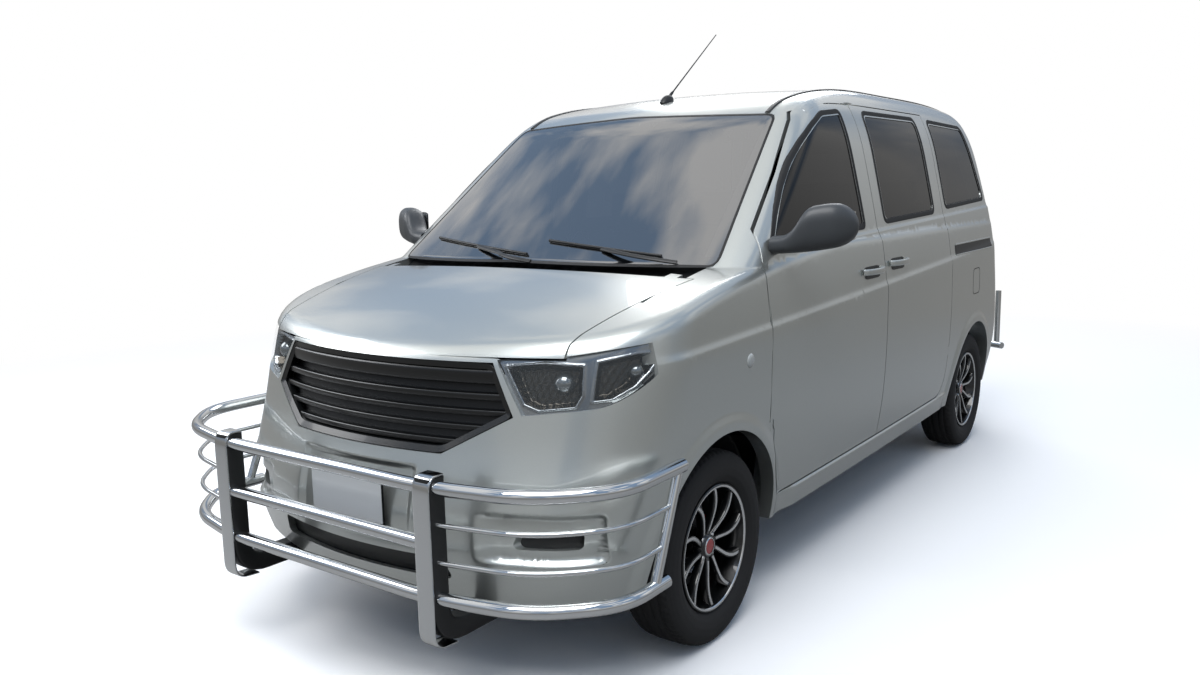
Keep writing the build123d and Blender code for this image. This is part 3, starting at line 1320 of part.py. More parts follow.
def door_handle(start, end, height):
    """Left handle between two stations, cut to fit the skin."""
    with BuildPart() as piece:
        with BuildSketch(Plane.XY.offset(height - HANDLE_TALL / 2)):
            with BuildLine():
                inner = HANDLE_OUT - HANDLE_BAR
                Polyline((HANDLE_ROOT, at(start)), (HANDLE_OUT, at(start + HANDLE_FOOT)),
                         (HANDLE_OUT, at(end - HANDLE_FOOT)), (HANDLE_ROOT, at(end)),
                         (HANDLE_ROOT, at(end - HANDLE_FOOT)), (inner, at(end - 2 * HANDLE_FOOT)),
                         (inner, at(start + 2 * HANDLE_FOOT)), (HANDLE_ROOT, at(start + HANDLE_FOOT)),
                         close=True)
            make_face()
        extrude(amount=HANDLE_TALL)
        add(form_at(0), mode=Mode.SUBTRACT)
    return piece.part


front_handle = door_handle(*FRONT_HANDLE)
finish("handle_left", front_handle)
finish("handle_right", other_side(front_handle))
finish("sliding_handles", both_sides(door_handle(*SLIDING_HANDLE)))

# Wipers: blades that follow the windshield and arms down to the cowl
with BuildPart() as wiper_room:
    for pivot, tip in WIPERS:
        with BuildSketch(Plane.XZ.offset(-at(WIPER_BACK))):
            with BuildLine():
                Polyline((pivot, WIPER_LOW), (pivot + WIPER_WIDE, WIPER_LOW),
                         (tip + WIPER_WIDE, WIPER_HIGH + WIPER_RISE), (tip, WIPER_HIGH), close=True)
            make_face()
        extrude(amount=WIPER_REACH)
finish("wipers", panel(wiper_room.part, 0, -WIPER_TALL))

with BuildPart() as antenna:
    foot_y = at(ANTENNA_S)
    foot_top = ROOF_HEIGHT - ANTENNA_FOOT_TOP
    add(upright_cylinder(ANTENNA_X, foot_y, ANTENNA_FOOT, ROOF_HEIGHT - ANTENNA_FOOT_LOW, foot_top))
    add(tube([(ANTENNA_X, foot_y, foot_top - ANTENNA_WHIP),
              (ANTENNA_X, foot_y + ANTENNA_BACK, ROOF_HEIGHT + ANTENNA_UP)], ANTENNA_WHIP, 0))
    add(form_at(0), mode=Mode.SUBTRACT)
finish("antenna", largest(antenna.part))
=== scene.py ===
"""Looks of a silver minibus, built over its packed construction.

The body panels are copies of the construction's panels, refined and laid on one smooth body form with its
creases and arch lips. Wheels, lamps, guards and fittings are surfaces made here.
"""
from __future__ import annotations

import logging
from dataclasses import dataclass, field
from enum import Enum

import bpy
import numpy as np
from mathutils import Matrix, Vector


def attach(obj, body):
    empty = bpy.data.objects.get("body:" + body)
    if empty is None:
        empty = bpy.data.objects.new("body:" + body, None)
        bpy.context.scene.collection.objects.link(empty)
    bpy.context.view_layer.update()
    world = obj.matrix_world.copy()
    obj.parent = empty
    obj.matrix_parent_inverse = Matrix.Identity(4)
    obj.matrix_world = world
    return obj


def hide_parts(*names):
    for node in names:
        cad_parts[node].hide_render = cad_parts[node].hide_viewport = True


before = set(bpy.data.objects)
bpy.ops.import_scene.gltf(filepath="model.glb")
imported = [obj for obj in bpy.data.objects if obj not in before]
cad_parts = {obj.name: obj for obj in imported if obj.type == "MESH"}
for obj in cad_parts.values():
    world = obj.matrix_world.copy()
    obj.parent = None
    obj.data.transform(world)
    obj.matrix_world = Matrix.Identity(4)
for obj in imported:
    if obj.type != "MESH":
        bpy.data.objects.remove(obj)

LOG = logging.getLogger("minibus")
Array = np.ndarray
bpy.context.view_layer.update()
FRONT_AXLE = -1.395
REAR_AXLE = 1.325
AXLE_HEIGHT = 0.300
TRACK_HALF = 0.715


def at(s: float | Array) -> float | Array:
    """Y of a station measured rearwards from the front axle.

    Args:
        s: station in metres.

    Returns:
        Y in metres.
    """
    return FRONT_AXLE + s


class Side(Enum):
    """Which side of the vehicle a piece is on; the value is the sign of X."""

    LEFT = 1
    RIGHT = -1

    @property
    def word(self) -> str:
        """Name of the side as node names spell it."""
        return self.name.lower()


def linear(code: str) -> tuple[float, float, float, float]:
    """Linear colour of an sRGB hex code.

    Args:
        code: six hex digits.

    Returns:
        Red, green, blue and alpha.
    """
    part = np.array([int(code[i:i + 2], 16) for i in (0, 2, 4)]) / 255.0
    value = np.where(part <= 0.04045, part / 12.92, ((part + 0.055) / 1.055) ** 2.4)
    return (float(value[0]), float(value[1]), float(value[2]), 1.0)


def node(tree: bpy.types.NodeTree, kind: str, links: dict | None = None, **settings) -> bpy.types.Node:
    """Add one shader node with its settings and incoming links.

    Args:
        tree: node tree to add to.
        kind: node type name.
        links: input name or index to an output socket or a constant.
        settings: attributes set on the node.

    Returns:
        The new node.
    """
    made = tree.nodes.new(kind)
    for key, value in settings.items():
        setattr(made, key, value)
    for key, value in (links or {}).items():
        if isinstance(value, bpy.types.NodeSocket):
            tree.links.new(value, made.inputs[key])
        else:
            made.inputs[key].default_value = value
    return made


@dataclass(frozen=True)
class Finish:
    """A material of one colour, with an optional fine grain that varies colour and relief.

    Attributes:
        name: real material.
        colour: sRGB hex code.
        metallic: share of metal reflection.
        roughness: spread of the reflection.
        specular: strength of the plain reflection, 0.5 for most materials.
        coat: strength of a clear coat.
        coat_index: refractive index of the clear coat, higher for a stronger mirror.
        alpha: share of light stopped, one for solid materials.
        grain: size of the grain in millimetres, none if zero.
        grain_depth: colour change of the grain.
        bump: relief of the grain in millimetres.
        glow: strength of emitted light.
    """

    name: str
    colour: str
    metallic: float = 0.0
    roughness: float = 0.5
    specular: float = 0.5
    coat: float = 0.0
    coat_index: float = 1.5
    alpha: float = 1.0
    grain: float = 0.0
    grain_depth: float = 0.0
    bump: float = 0.0
    glow: float = 0.0

    def material(self) -> bpy.types.Material:
        """Blender material of this finish, made once.

        Returns:
            The material.
        """
        found = bpy.data.materials.get(self.name)
        if found:
            return found
        made = bpy.data.materials.new(self.name)
        made.use_nodes = True
        tree = made.node_tree
        shader = tree.nodes["Principled BSDF"]
        colour = linear(self.colour)
        shader.inputs["Base Color"].default_value = colour
        shader.inputs["Metallic"].default_value = self.metallic
        shader.inputs["Roughness"].default_value = self.roughness
        shader.inputs["Specular IOR Level"].default_value = self.specular
        shader.inputs["Coat Weight"].default_value = self.coat
        shader.inputs["Coat Roughness"].default_value = 0.03
        shader.inputs["Coat IOR"].default_value = self.coat_index
        shader.inputs["Alpha"].default_value = self.alpha
        made.diffuse_color = colour
        if self.glow:
            shader.inputs["Emission Color"].default_value = colour
            shader.inputs["Emission Strength"].default_value = self.glow
        if self.grain:
            place = node(tree, "ShaderNodeTexCoord")
            noise = node(tree, "ShaderNodeTexNoise",
                         {"Vector": place.outputs["Object"], "Scale": 1000.0 / self.grain, "Detail": 2.0})
            low, high = 1.0 - self.grain_depth, 1.0 + self.grain_depth
            factor = node(tree, "ShaderNodeMapRange", {"Value": noise.outputs["Fac"], "From Min": 0.3,
                                                       "From Max": 0.7, "To Min": low, "To Max": high})
            tint = node(tree, "ShaderNodeVectorMath", {0: colour[:3], "Scale": factor.outputs["Result"]},
                        operation="SCALE")
            tree.links.new(tint.outputs["Vector"], shader.inputs["Base Color"])
            if self.bump:
                relief = node(tree, "ShaderNodeBump", {"Height": noise.outputs["Fac"], "Strength": 1.0,
                                                       "Distance": self.bump / 1000.0})
                tree.links.new(relief.outputs["Normal"], shader.inputs["Normal"])
        return made


# Silver metallic paint: bright flakes under a clear coat
PAINT = Finish("silver paint", "BABEBB", metallic=0.80, roughness=0.30, coat=1.0, grain=1.2, grain_depth=0.05)
# Dark tinted side glass: nearly black, with a clear mirror of the surroundings
SIDE_GLASS = Finish("tinted side glass", "030405", roughness=0.02, specular=0.1, coat=0.35, alpha=0.96)
# Windshield: smoke tint with a film that mirrors the sky and lets the cabin show faintly
SHIELD_GLASS = Finish("tinted windshield glass", "06090C", roughness=0.02, coat=1.0, coat_index=3.4,
                      alpha=0.90)
# Clear lamp cover: almost invisible but for its highlights
LENS = Finish("clear lamp cover", "C9D2D6", roughness=0.02, coat=1.0, alpha=0.06)
# Red lamp cover: deep and glossy
RED_LENS = Finish("red lamp cover", "9C0B0E", roughness=0.08, coat=1.0, alpha=0.88)
# Vacuum-coated reflector: mirror with a faint softness
REFLECTOR = Finish("reflector", "84888B", metallic=1.0, roughness=0.16)
# Smoked reflector bowl of a lamp chamber
LAMP_CHAMBER = Finish("smoked reflector", "3B3833", metallic=0.95, roughness=0.12)
# Bulb glass, bright
BULB = Finish("bulb glass", "6F7476", metallic=0.8, roughness=0.06, coat=1.0)
# Clear side marker
MARKER = Finish("side marker cover", "B9BDBB", roughness=0.12, coat=1.0)
# Polished steel tube of the guards
CHROME = Finish("polished steel", "CDCFD0", metallic=1.0, roughness=0.07)
# Black moulded plastic with fine grain
BLACK_PLASTIC = Finish("black plastic", "141516", roughness=0.45, grain=0.8, grain_depth=0.10, bump=0.03)
# Glossy black of the grille bars
GLOSS_BLACK = Finish("gloss black plastic", "050607", roughness=0.30, coat=0.25)
# Dark grey mirror housing
GREY_PLASTIC = Finish("grey plastic", "3A3D40", roughness=0.42, grain=0.7, grain_depth=0.06, bump=0.02)
# Rubber seal round glass
SEAL = Finish("rubber seal", "0C0C0D", roughness=0.65)
# Tyre rubber: dull black with dust
TYRE = Finish("tyre rubber", "1A1A1B", roughness=0.82, grain=3.0, grain_depth=0.12, bump=0.05)
# Black lacquered alloy
ALLOY_BLACK = Finish("black alloy", "0E0F10", metallic=0.3, roughness=0.28, coat=0.8)
# Machined alloy faces
ALLOY_CUT = Finish("machined alloy", "DADBDC", metallic=1.0, roughness=0.16)
# Red paint of the centre cap and caliper
RED_PAINT = Finish("red paint", "A8141B", roughness=0.25, coat=0.8)
# Bare cast metal below
CAST = Finish("cast metal", "4A4A4A", metallic=0.7, roughness=0.55, grain=6.0, grain_depth=0.15, bump=0.15)
# Underseal on the floor and rails
UNDERSEAL = Finish("underseal", "17181A", roughness=0.75, grain=4.0, grain_depth=0.2, bump=0.2)
# Grey woven seat cloth
CLOTH = Finish("seat cloth", "4B4C4E", roughness=0.92, grain=2.0, grain_depth=0.22, bump=0.25)
# Light grey cabin trim
TRIM = Finish("cabin trim", "2A2B2D", roughness=0.75, grain=1.5, grain_depth=0.08, bump=0.05)
# Blank number plate
PLATE = Finish("blank plate", "C9CCCE", roughness=0.35, coat=0.3)
# Mirror glass
MIRROR = Finish("mirror glass", "E6E8EA", metallic=1.0, roughness=0.02)
# Exhaust steel
EXHAUST = Finish("exhaust steel", "6E6A64", metallic=0.9, roughness=0.45, grain=8.0, grain_depth=0.15)
# Pale studio floor
FLOOR = Finish("studio floor", "F2F2F1", roughness=0.55)


def mesh_object(name: str, verts: Array, faces: Array, finishes: list[Finish], slots: Array | None = None,
                normals: Array | None = None, smooth: bool = True) -> bpy.types.Object:
    """Object from whole arrays.

    Args:
        name: object name.
        verts: points, one row each.
        faces: corner indices, one row per face.
        finishes: materials in slot order.
        slots: material slot of each face.
        normals: one normal per face corner, row by row.
        smooth: smooth shading.

    Returns:
        The new object, at the origin.
    """
    mesh = bpy.data.meshes.new(name)
    count, sides = faces.shape
    mesh.vertices.add(len(verts))
    mesh.vertices.foreach_set("co", np.ascontiguousarray(verts, dtype=np.float32).ravel())
    mesh.loops.add(count * sides)
    mesh.loops.foreach_set("vertex_index", np.ascontiguousarray(faces, dtype=np.int32).ravel())
    mesh.polygons.add(count)
    mesh.polygons.foreach_set("loop_start", np.arange(0, count * sides, sides, dtype=np.int32))
    mesh.polygons.foreach_set("use_smooth", np.full(count, smooth))
    if slots is not None:
        mesh.polygons.foreach_set("material_index", np.ascontiguousarray(slots, dtype=np.int32))
    for finish in finishes:
        mesh.materials.append(finish.material())
    mesh.update(calc_edges=True)
    if normals is not None:
        mesh.normals_split_custom_set(normals.astype(float).tolist())
    made = bpy.data.objects.new(name, mesh)
    bpy.context.scene.collection.objects.link(made)
    return made


def grid_faces(rows: int, columns: int, wrap_rows: bool = False, wrap_columns: bool = False) -> Array:
    """Quads of a grid of points numbered row by row.

    Args:
        rows: points along the first parameter.
        columns: points along the second parameter.
        wrap_rows: last row joins the first.
        wrap_columns: last column joins the first.

    Returns:
        Corner indices, one quad per row.
    """
    i, j = np.meshgrid(np.arange(rows if wrap_rows else rows - 1),
                       np.arange(columns if wrap_columns else columns - 1),
                       indexing="ij")
    up, right = (i + 1) % rows, (j + 1) % columns
    corners = [i * columns + j, i * columns + right, up * columns + right, up * columns + j]
    return np.stack(corners, -1).reshape(-1, 4)


# Upward direction of most rods
UP = np.array((0.0, 0.0, 1.0))


@dataclass
class Builder:
    """Collects grids into one object.

    Attributes:
        verts: point arrays.
        faces: quad arrays, already shifted.
        slots: material slots of the faces.
        count: points so far.
    """

    verts: list[Array] = field(default_factory=list)
    faces: list[Array] = field(default_factory=list)
    slots: list[Array] = field(default_factory=list)
    count: int = 0

    def grid(self, points: Array, slot: int = 0, wrap_rows: bool = False, wrap_columns: bool = False) -> Builder:
        """Add a grid of points.

        Args:
            points: rows by columns by three.
            slot: material slot.
            wrap_rows: last row joins the first.
            wrap_columns: last column joins the first.

        Returns:
            This builder.
        """
        rows, columns = points.shape[:2]
        quads = grid_faces(rows, columns, wrap_rows, wrap_columns) + self.count
        self.verts.append(points.reshape(-1, 3))
        self.faces.append(quads)
        self.slots.append(np.full(len(quads), slot))
        self.count += rows * columns
        return self

    def rod(self, path: Array, profile: Array, up: Array | None = None, slot: int = 0) -> Builder:
        """Add a profile carried along a path, with closed ends.

        Args:
            path: points of the path.
            profile: closed profile in its own plane.
            up: direction of the profile's second axis, upwards where none is given.
            slot: finish index.

        Returns:
            The builder itself.
        """
        return self.grid(capped(sweep(path, profile, UP if up is None else up)), slot, wrap_columns=True)

    def object(self, name: str, finishes: list[Finish]) -> bpy.types.Object:
        """Object of all the grids.

        Args:
            name: object name.
            finishes: materials in slot order.

        Returns:
            The object.
        """
        made = mesh_object(name, np.concatenate(self.verts), np.concatenate(self.faces), finishes,
                           np.concatenate(self.slots))
        split = made.modifiers.new("edges", "EDGE_SPLIT")
        split.split_angle = np.radians(38)
        return made


def place(piece: bpy.types.Object, body: str, slot: str, *nodes: str) -> bpy.types.Object:
    """Let a piece ride on a body and stand for nodes, which are hidden.

    Args:
        piece: the object.
        body: body name.
        slot: not used.
        nodes: nodes it stands for.

    Returns:
        The piece.
    """
    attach(piece, body)
    if nodes:
        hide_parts(*nodes)
    return piece


def smoothstep(low: float, high: float, value: Array) -> Array:
    """Rise from zero to one between two values, level at both ends.

    Args:
        low: start of the rise.
        high: end of the rise.
        value: where it is read.

    Returns:
        Share risen.
    """
    t = np.clip((value - low) / (high - low), 0.0, 1.0)
    return t * t * (3.0 - 2.0 * t)


def unit(vectors: Array) -> Array:
    """Vectors scaled to length one.

    Args:
        vectors: rows of vectors.

    Returns:
        Unit vectors.
    """
    return vectors / np.maximum(np.linalg.norm(vectors, axis=-1, keepdims=True), 1e-12)


@dataclass(frozen=True)
class Curve:
    """Natural cubic curve through knots: second derivatives are zero at the ends."""

    x: Array
    y: Array
    bend: Array

    @classmethod
    def through(cls, x: Array, y: Array) -> Curve:
        """Curve through points.

        Args:
            x: knots in rising order.
            y: values at the knots.

        Returns:
            The curve.
        """
        x, y = np.asarray(x, float), np.asarray(y, float)
        n, h = len(x), np.diff(x)
        system, right = np.eye(n), np.zeros(n)
        inner = np.arange(1, n - 1)
        system[inner, inner - 1], system[inner, inner + 1] = h[:-1] / 6, h[1:] / 6
        system[inner, inner] = (h[:-1] + h[1:]) / 3
        right[inner] = np.diff(y)[1:] / h[1:] - np.diff(y)[:-1] / h[:-1]
        return cls(x, y, np.linalg.solve(system, right))

    def __call__(self, value: Array) -> Array:
        """Height of the curve.

        Args:
            value: where it is read; held at the ends.

        Returns:
            Values of the curve.
        """
        q = np.clip(value, self.x[0], self.x[-1])
        k = np.clip(np.searchsorted(self.x, q) - 1, 0, len(self.x) - 2)
        h = self.x[k + 1] - self.x[k]
        a, b = (self.x[k + 1] - q) / h, (q - self.x[k]) / h
        wave = ((a ** 3 - a) * self.bend[k] + (b ** 3 - b) * self.bend[k + 1]) * h * h / 6
        return a * self.y[k] + b * self.y[k + 1] + wave


def blend_max(a: Array, b: Array, reach: float) -> Array:
    """Larger of two fields with the edge between them rounded.

    Args:
        a: first field.
        b: second field.
        reach: difference within which they blend.

    Returns:
        Blended field.
    """
    near = np.maximum(reach - np.abs(a - b), 0.0) / reach
    return np.maximum(a, b) + near * near * reach * 0.25


def cross2(a: Array, b: Array) -> Array:
    """Turn from one plane vector to another.

    Args:
        a: first vectors.
        b: second vectors.

    Returns:
        Signed area of their parallelogram.
    """
    return a[..., 0] * b[..., 1] - a[..., 1] * b[..., 0]


@dataclass(frozen=True)
class Hull:
    """The body form as one field that is negative inside and zero on the skin.

    At each height the plan outline is five tangent arcs a side: nose, front corner, side, rear corner and tail.
    The form lies below a crowned roof and below the hood or behind the windshield.
    """

    nose_in: Curve
    tail_in: Curve
    side_in: Curve
    roof_drop: Curve
    hood_top: Curve
    half_width: float = 0.840
    nose: float = -2.145
    tail: float = 2.145
    nose_radius: float = 1.450
    nose_corner: float = 0.350
    side_radius: float = 80.0
    tail_corner: float = 0.340
    tail_radius: float = 2.100
    roof_height: float = 1.800
    roof_crown: float = 8.0
    hood_crown: float = 7.0
    glass_radius: float = 2.200
    pillar_radius: float = 0.210
    pillar_flare: float = 0.006

    @classmethod
    def minibus(cls) -> Hull:
        """The form of this vehicle.

        Returns:
            The hull.
        """
        level = np.array([(285, 40, 60, 52), (450, 0, 4, 22), (700, 58, 25, 1), (950, 125, 70, 3),
                          (1220, 260, 100, 38),
                          (1450, 420, 165, 84), (1640, 560, 246, 136), (1806, 690, 372, 222)]) / 1000.0
        roof = np.array([(500, 250), (735, 142), (1250, 22), (1950, 0), (2750, 10), (3700, 120)]) / 1000.0
        hood = np.array([(-900, 780), (-620, 950), (-380, 1046), (-60, 1128), (900, 1240)]) / 1000.0
        return cls(*[Curve.through(level[:, 0], level[:, k]) for k in (1, 2, 3)], Curve.through(roof[:, 0], roof[:, 1]),
                   Curve.through(hood[:, 0], hood[:, 1]))

    def corner_centre(self, end: Array, end_radius: float, side: Array, corner: float, ahead: float) -> Array:
        """Centre of the circle that lies inside the end and side circles and touches both.

        Args:
            end: centres of the nose or tail circle.
            end_radius: its radius.
            side: centres of the side circle.
            corner: radius of the corner.
            ahead: minus one for the front, one for the rear.

        Returns:
            Centres.
        """
        ra, rb = end_radius - corner, self.side_radius - corner
        gap = side - end
        span = np.linalg.norm(gap, axis=-1)
        along = (ra * ra - rb * rb + span * span) / (2 * span)
        across = np.sqrt(np.maximum(ra * ra - along * along, 0.0))
        ux, uy = gap[..., 0] / span, gap[..., 1] / span
        turn = -ahead
        return np.stack([end[..., 0] + along * ux - turn * across * uy,
                         end[..., 1] + along * uy + turn * across * ux], -1)

    def side_field(self, p: Array) -> Array:
        """Distance outwards from the plan outline.

        Args:
            p: points.

        Returns:
            Distances in metres.
        """
        q = np.stack([np.abs(p[..., 0]), p[..., 1]], -1)
        z = p[..., 2]
        zero = np.zeros_like(z)
        nose = np.stack([zero, self.nose + self.nose_in(z) + self.nose_radius], -1)
        tail = np.stack([zero, self.tail - self.tail_in(z) - self.tail_radius], -1)
        side = np.stack([self.half_width - self.side_in(z) - self.side_radius, zero], -1)
        front = self.corner_centre(nose, self.nose_radius, side, self.nose_corner, -1)
        rear = self.corner_centre(tail, self.tail_radius, side, self.tail_corner, 1)
        from_nose = np.linalg.norm(q - nose, axis=-1) - self.nose_radius
        from_tail = np.linalg.norm(q - tail, axis=-1) - self.tail_radius
        from_side = np.linalg.norm(q - side, axis=-1) - self.side_radius
        from_front = np.linalg.norm(q - front, axis=-1) - self.nose_corner
        from_rear = np.linalg.norm(q - rear, axis=-1) - self.tail_corner
        ahead = np.where(cross2(front - nose, q - front) < 0, from_nose,
                         np.where(cross2(q - front, front - side) < 0, from_side, from_front))
        behind = np.where(cross2(q - rear, rear - tail) < 0, from_tail,
                          np.where(cross2(rear - side, q - rear) < 0, from_side, from_rear))
        return np.where(q[..., 1] < 0, ahead, behind)

    def roof_field(self, p: Array) -> Array:
        """Height above the crowned roof.

        Args:
            p: points.

        Returns:
            Heights in metres.
        """
        sag = self.roof_crown - np.sqrt(self.roof_crown ** 2 - p[..., 0] ** 2)
        return p[..., 2] - (self.roof_height - self.roof_drop(p[..., 1] - FRONT_AXLE) - sag)

    def hood_field(self, p: Array) -> Array:
        """Height above the hood.

        Args:
            p: points.

        Returns:
            Heights in metres.
        """
        sag = self.hood_crown - np.sqrt(self.hood_crown ** 2 - p[..., 0] ** 2)
        return (p[..., 2] - (self.hood_top(p[..., 1] - FRONT_AXLE) - sag)) * 0.94

    def shield_field(self, p: Array) -> Array:
        """Distance ahead of the windshield and its pillars.

        Args:
            p: points.

        Returns:
            Distances in metres.
        """
        x, y, z = np.abs(p[..., 0]), p[..., 1], p[..., 2]
        rise = (z - 1.127) / (1.650 - 1.127)
        middle = at(0.050 + rise * (0.735 - 0.050)) + self.glass_radius
        pillar_x = self.half_width - self.side_in(z) + self.pillar_flare - self.pillar_radius
        reach = self.glass_radius - self.pillar_radius
        pillar_y = middle - np.sqrt(reach ** 2 - pillar_x ** 2)
        q = np.stack([x, y], -1)
        glass = np.stack([np.zeros_like(z), middle], -1)
        pillar = np.stack([pillar_x, pillar_y], -1)
        from_glass = np.linalg.norm(q - glass, axis=-1) - self.glass_radius
        from_pillar = np.linalg.norm(q - pillar, axis=-1) - self.pillar_radius
        beside = x - pillar_x - self.pillar_radius
        ahead = np.where(cross2(pillar - glass, q - pillar) > 0, from_pillar, from_glass)
        return np.where(y > pillar_y, np.maximum(from_glass, beside), ahead) * 0.61

    def relief(self, p: Array) -> Array:
        """Height of the pressed lines on the sides and the bumper above the plain form.

        Args:
            p: points.

        Returns:
            Heights in metres.
        """
        x, s, z = np.abs(p[..., 0]), p[..., 1] - FRONT_AXLE, p[..., 2]
        crease = z - (0.917 + 0.039 * (s + 0.27))
        along = smoothstep(-0.42, -0.20, s) * (1 - smoothstep(3.05, 3.30, s)) * smoothstep(0.60, 0.72, x)
        ridge = np.where(crease > 0, np.exp(-(crease / 0.016) ** 2), np.exp(-(crease / 0.085) ** 2))
        made = 0.006 * ridge * along
        belt = z - (1.170 + 0.030 * (s - 0.30))
        made = made - 0.007 * smoothstep(-0.008, 0.010, belt) * smoothstep(0.30, 0.48, s)
        for axle in (0.0, 2.720):
            radius = np.hypot(s - axle, z - AXLE_HEIGHT)
            made = made + 0.009 * (1 - smoothstep(0.384, 0.425, radius)) * smoothstep(0.60, 0.72, x)
        between = smoothstep(0.45, 0.55, s) * (1 - smoothstep(2.25, 2.35, s))
        made = made + 0.010 * (1 - smoothstep(0.352, 0.366, z)) * between * smoothstep(0.60, 0.72, x)
        ahead = 1 - smoothstep(-0.45, -0.40, s)
        pocket = (smoothstep(0.425, 0.500, x) * (1 - smoothstep(0.722, 0.745, x)) * smoothstep(0.402, 0.424, z)
                  * (1 - smoothstep(0.525, 0.547, z)))
        plate = ((1 - smoothstep(0.215, 0.245, x)) * smoothstep(0.430, 0.452, z)
                 * (1 - smoothstep(0.628, 0.650, z)))
        return made - ahead * (0.022 * pocket + 0.012 * plate)

    def pressed(self, p: Array) -> Array:
        """Tell where the relief bends sharply, by its second differences up and along.

        Args:
            p: points.

        Returns:
            True near pressed lines.
        """
        here = self.relief(p)
        bend = [self.relief(p + step) + self.relief(p - step) - 2 * here for step in 0.008 * np.eye(3)]
        return np.abs(bend).max(axis=0) > 0.0003

    def plain(self, p: Array) -> Array:
        """The form with sharp edges and no pressed lines, as the construction has it.

        Args:
            p: points.

        Returns:
            Field values.
        """
        front = np.minimum(self.hood_field(p), self.shield_field(p))
        return np.maximum(np.maximum(self.side_field(p), self.roof_field(p)), front)

    def skin(self, p: Array) -> Array:
        """The form with rounded edges and pressed lines.

        Args:
            p: points.

        Returns:
            Field values.
        """
        side = self.side_field(p) - self.relief(p)
        front = np.minimum(self.hood_field(p), self.shield_field(p))
        return blend_max(blend_max(side, self.roof_field(p), 0.075), front, 0.040)

    def slope(self, p: Array, smooth: bool = True) -> Array:
        """Outward direction of the field by central differences.

        Args:
            p: points.
            smooth: read the rounded form.

        Returns:
            Gradients.
        """
        field_of = self.skin if smooth else self.plain
        step = 0.0006
        shifts = np.eye(3) * step
        return np.stack([(field_of(p + d) - field_of(p - d)) / (2 * step) for d in shifts], -1)

    def settle(self, p: Array, depth: float = 0.0) -> Array:
        """Move points along the slope onto the skin.

        Args:
            p: points near the skin.
            depth: how far below the skin they end.

        Returns:
            Moved points.
        """
        for _ in range(4):
            g = self.slope(p)
            move = (self.skin(p) + depth) / np.maximum((g * g).sum(-1), 0.2)
            p = p - np.clip(move, -0.02, 0.02)[..., None] * g
        return p

    def on_side(self, s: Array, z: Array, side: Side, lift: float = 0.0) -> Array:
        """Points of the side skin from a side view.

        Args:
            s: stations.
            z: heights.
            side: which side.
            lift: height above the skin.

        Returns:
            Points.
        """
        s, z = np.broadcast_arrays(np.asarray(s, float), np.asarray(z, float))
        p = np.stack([np.full(s.shape, self.half_width - 0.03), at(s), z], -1)
        for _ in range(6):
            p[..., 0] -= (self.skin(p) - lift) / np.maximum(self.slope(p)[..., 0], 0.3)
        return p * (side.value, 1, 1)

    def on_top(self, x: Array, s: Array, lift: float = 0.0) -> Array:
        """Points of the upper skin from above.

        Args:
            x: distances to the left.
            s: stations.
            lift: height above the skin.

        Returns:
            Points.
        """
        x, s = np.broadcast_arrays(np.asarray(x, float), np.asarray(s, float))
        p = np.stack([x, at(s), np.full(x.shape, 1.5)], -1)
        for _ in range(14):
            p[..., 2] -= np.clip((self.skin(p) - lift) / np.maximum(self.slope(p)[..., 2], 0.25), -0.2, 0.2)
        return p


HULL = Hull.minibus()


@dataclass
class Facets:
    """Welded triangles of one construction node, told apart as skin, inner faces and edges.

    Attributes:
        verts: points.
        tris: corner indices.
        kind: one for outer skin, minus one for inner faces, zero for edges.
    """

    verts: Array
    tris: Array
    kind: Array

    @classmethod
    def of_node(cls, name: str, tolerance: float = 0.025) -> Facets:
        """Triangles of a node, welded.

        Args:
            name: node name.
            tolerance: greatest distance from the form that counts as skin.

        Returns:
            The facets.
        """
        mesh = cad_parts[name].data
        mesh.calc_loop_triangles()
        points = np.empty(len(mesh.vertices) * 3, np.float32)
        mesh.vertices.foreach_get("co", points)
        tris = np.empty(len(mesh.loop_triangles) * 3, np.int32)
        mesh.loop_triangles.foreach_get("vertices", tris)
        points, tris = points.reshape(-1, 3).astype(float), tris.reshape(-1, 3)
        _, first, back = np.unique(np.round(points, 5), axis=0, return_index=True, return_inverse=True)
        verts, tris = points[first], back.reshape(-1)[tris]
        tris = tris[(tris[:, 0] != tris[:, 1]) & (tris[:, 1] != tris[:, 2]) & (tris[:, 2] != tris[:, 0])]
        corner = verts[tris]
        facing = unit(np.cross(corner[:, 1] - corner[:, 0], corner[:, 2] - corner[:, 0]))
        middle = corner.mean(axis=1)
        agree = (facing * unit(HULL.slope(middle, smooth=False))).sum(-1)
        near = np.abs(HULL.plain(middle)) < tolerance
        kind = np.where((agree > 0.80) & near, 1, np.where(agree < -0.6, -1, 0))
        return cls(verts, tris, kind)

    def refined(self, limit: float) -> Facets:
        """The same facets with the skin's long edges halved until none is longer than a limit.

        Args:
            limit: greatest edge length, a third of it along pressed lines.

        Returns:
            Finer facets.
        """
        verts, tris, kind = self.verts, self.tris, self.kind
        for _ in range(9):
            pairs = np.sort(tris[:, [0, 1, 1, 2, 2, 0]].reshape(-1, 2), axis=1)
            edges, which = np.unique(pairs, axis=0, return_inverse=True)
            which = which.reshape(-1, 3)
            length = np.linalg.norm(verts[edges[:, 0]] - verts[edges[:, 1]], axis=1)
            on_skin = np.zeros(len(edges), bool)
            on_skin[which[kind == 1]] = True
            close = HULL.pressed(verts[edges].mean(axis=1))
            halve = (length > np.where(close, 0.36 * limit, limit)) & on_skin
            if not halve.any():
                break
            middle = np.full(len(edges), -1)
            middle[halve] = len(verts) + np.arange(halve.sum())
            verts = np.concatenate([verts, verts[edges[halve]].mean(axis=1)])
            tris, kind = split_triangles(tris, kind, middle[which])
        return Facets(verts, tris, kind)


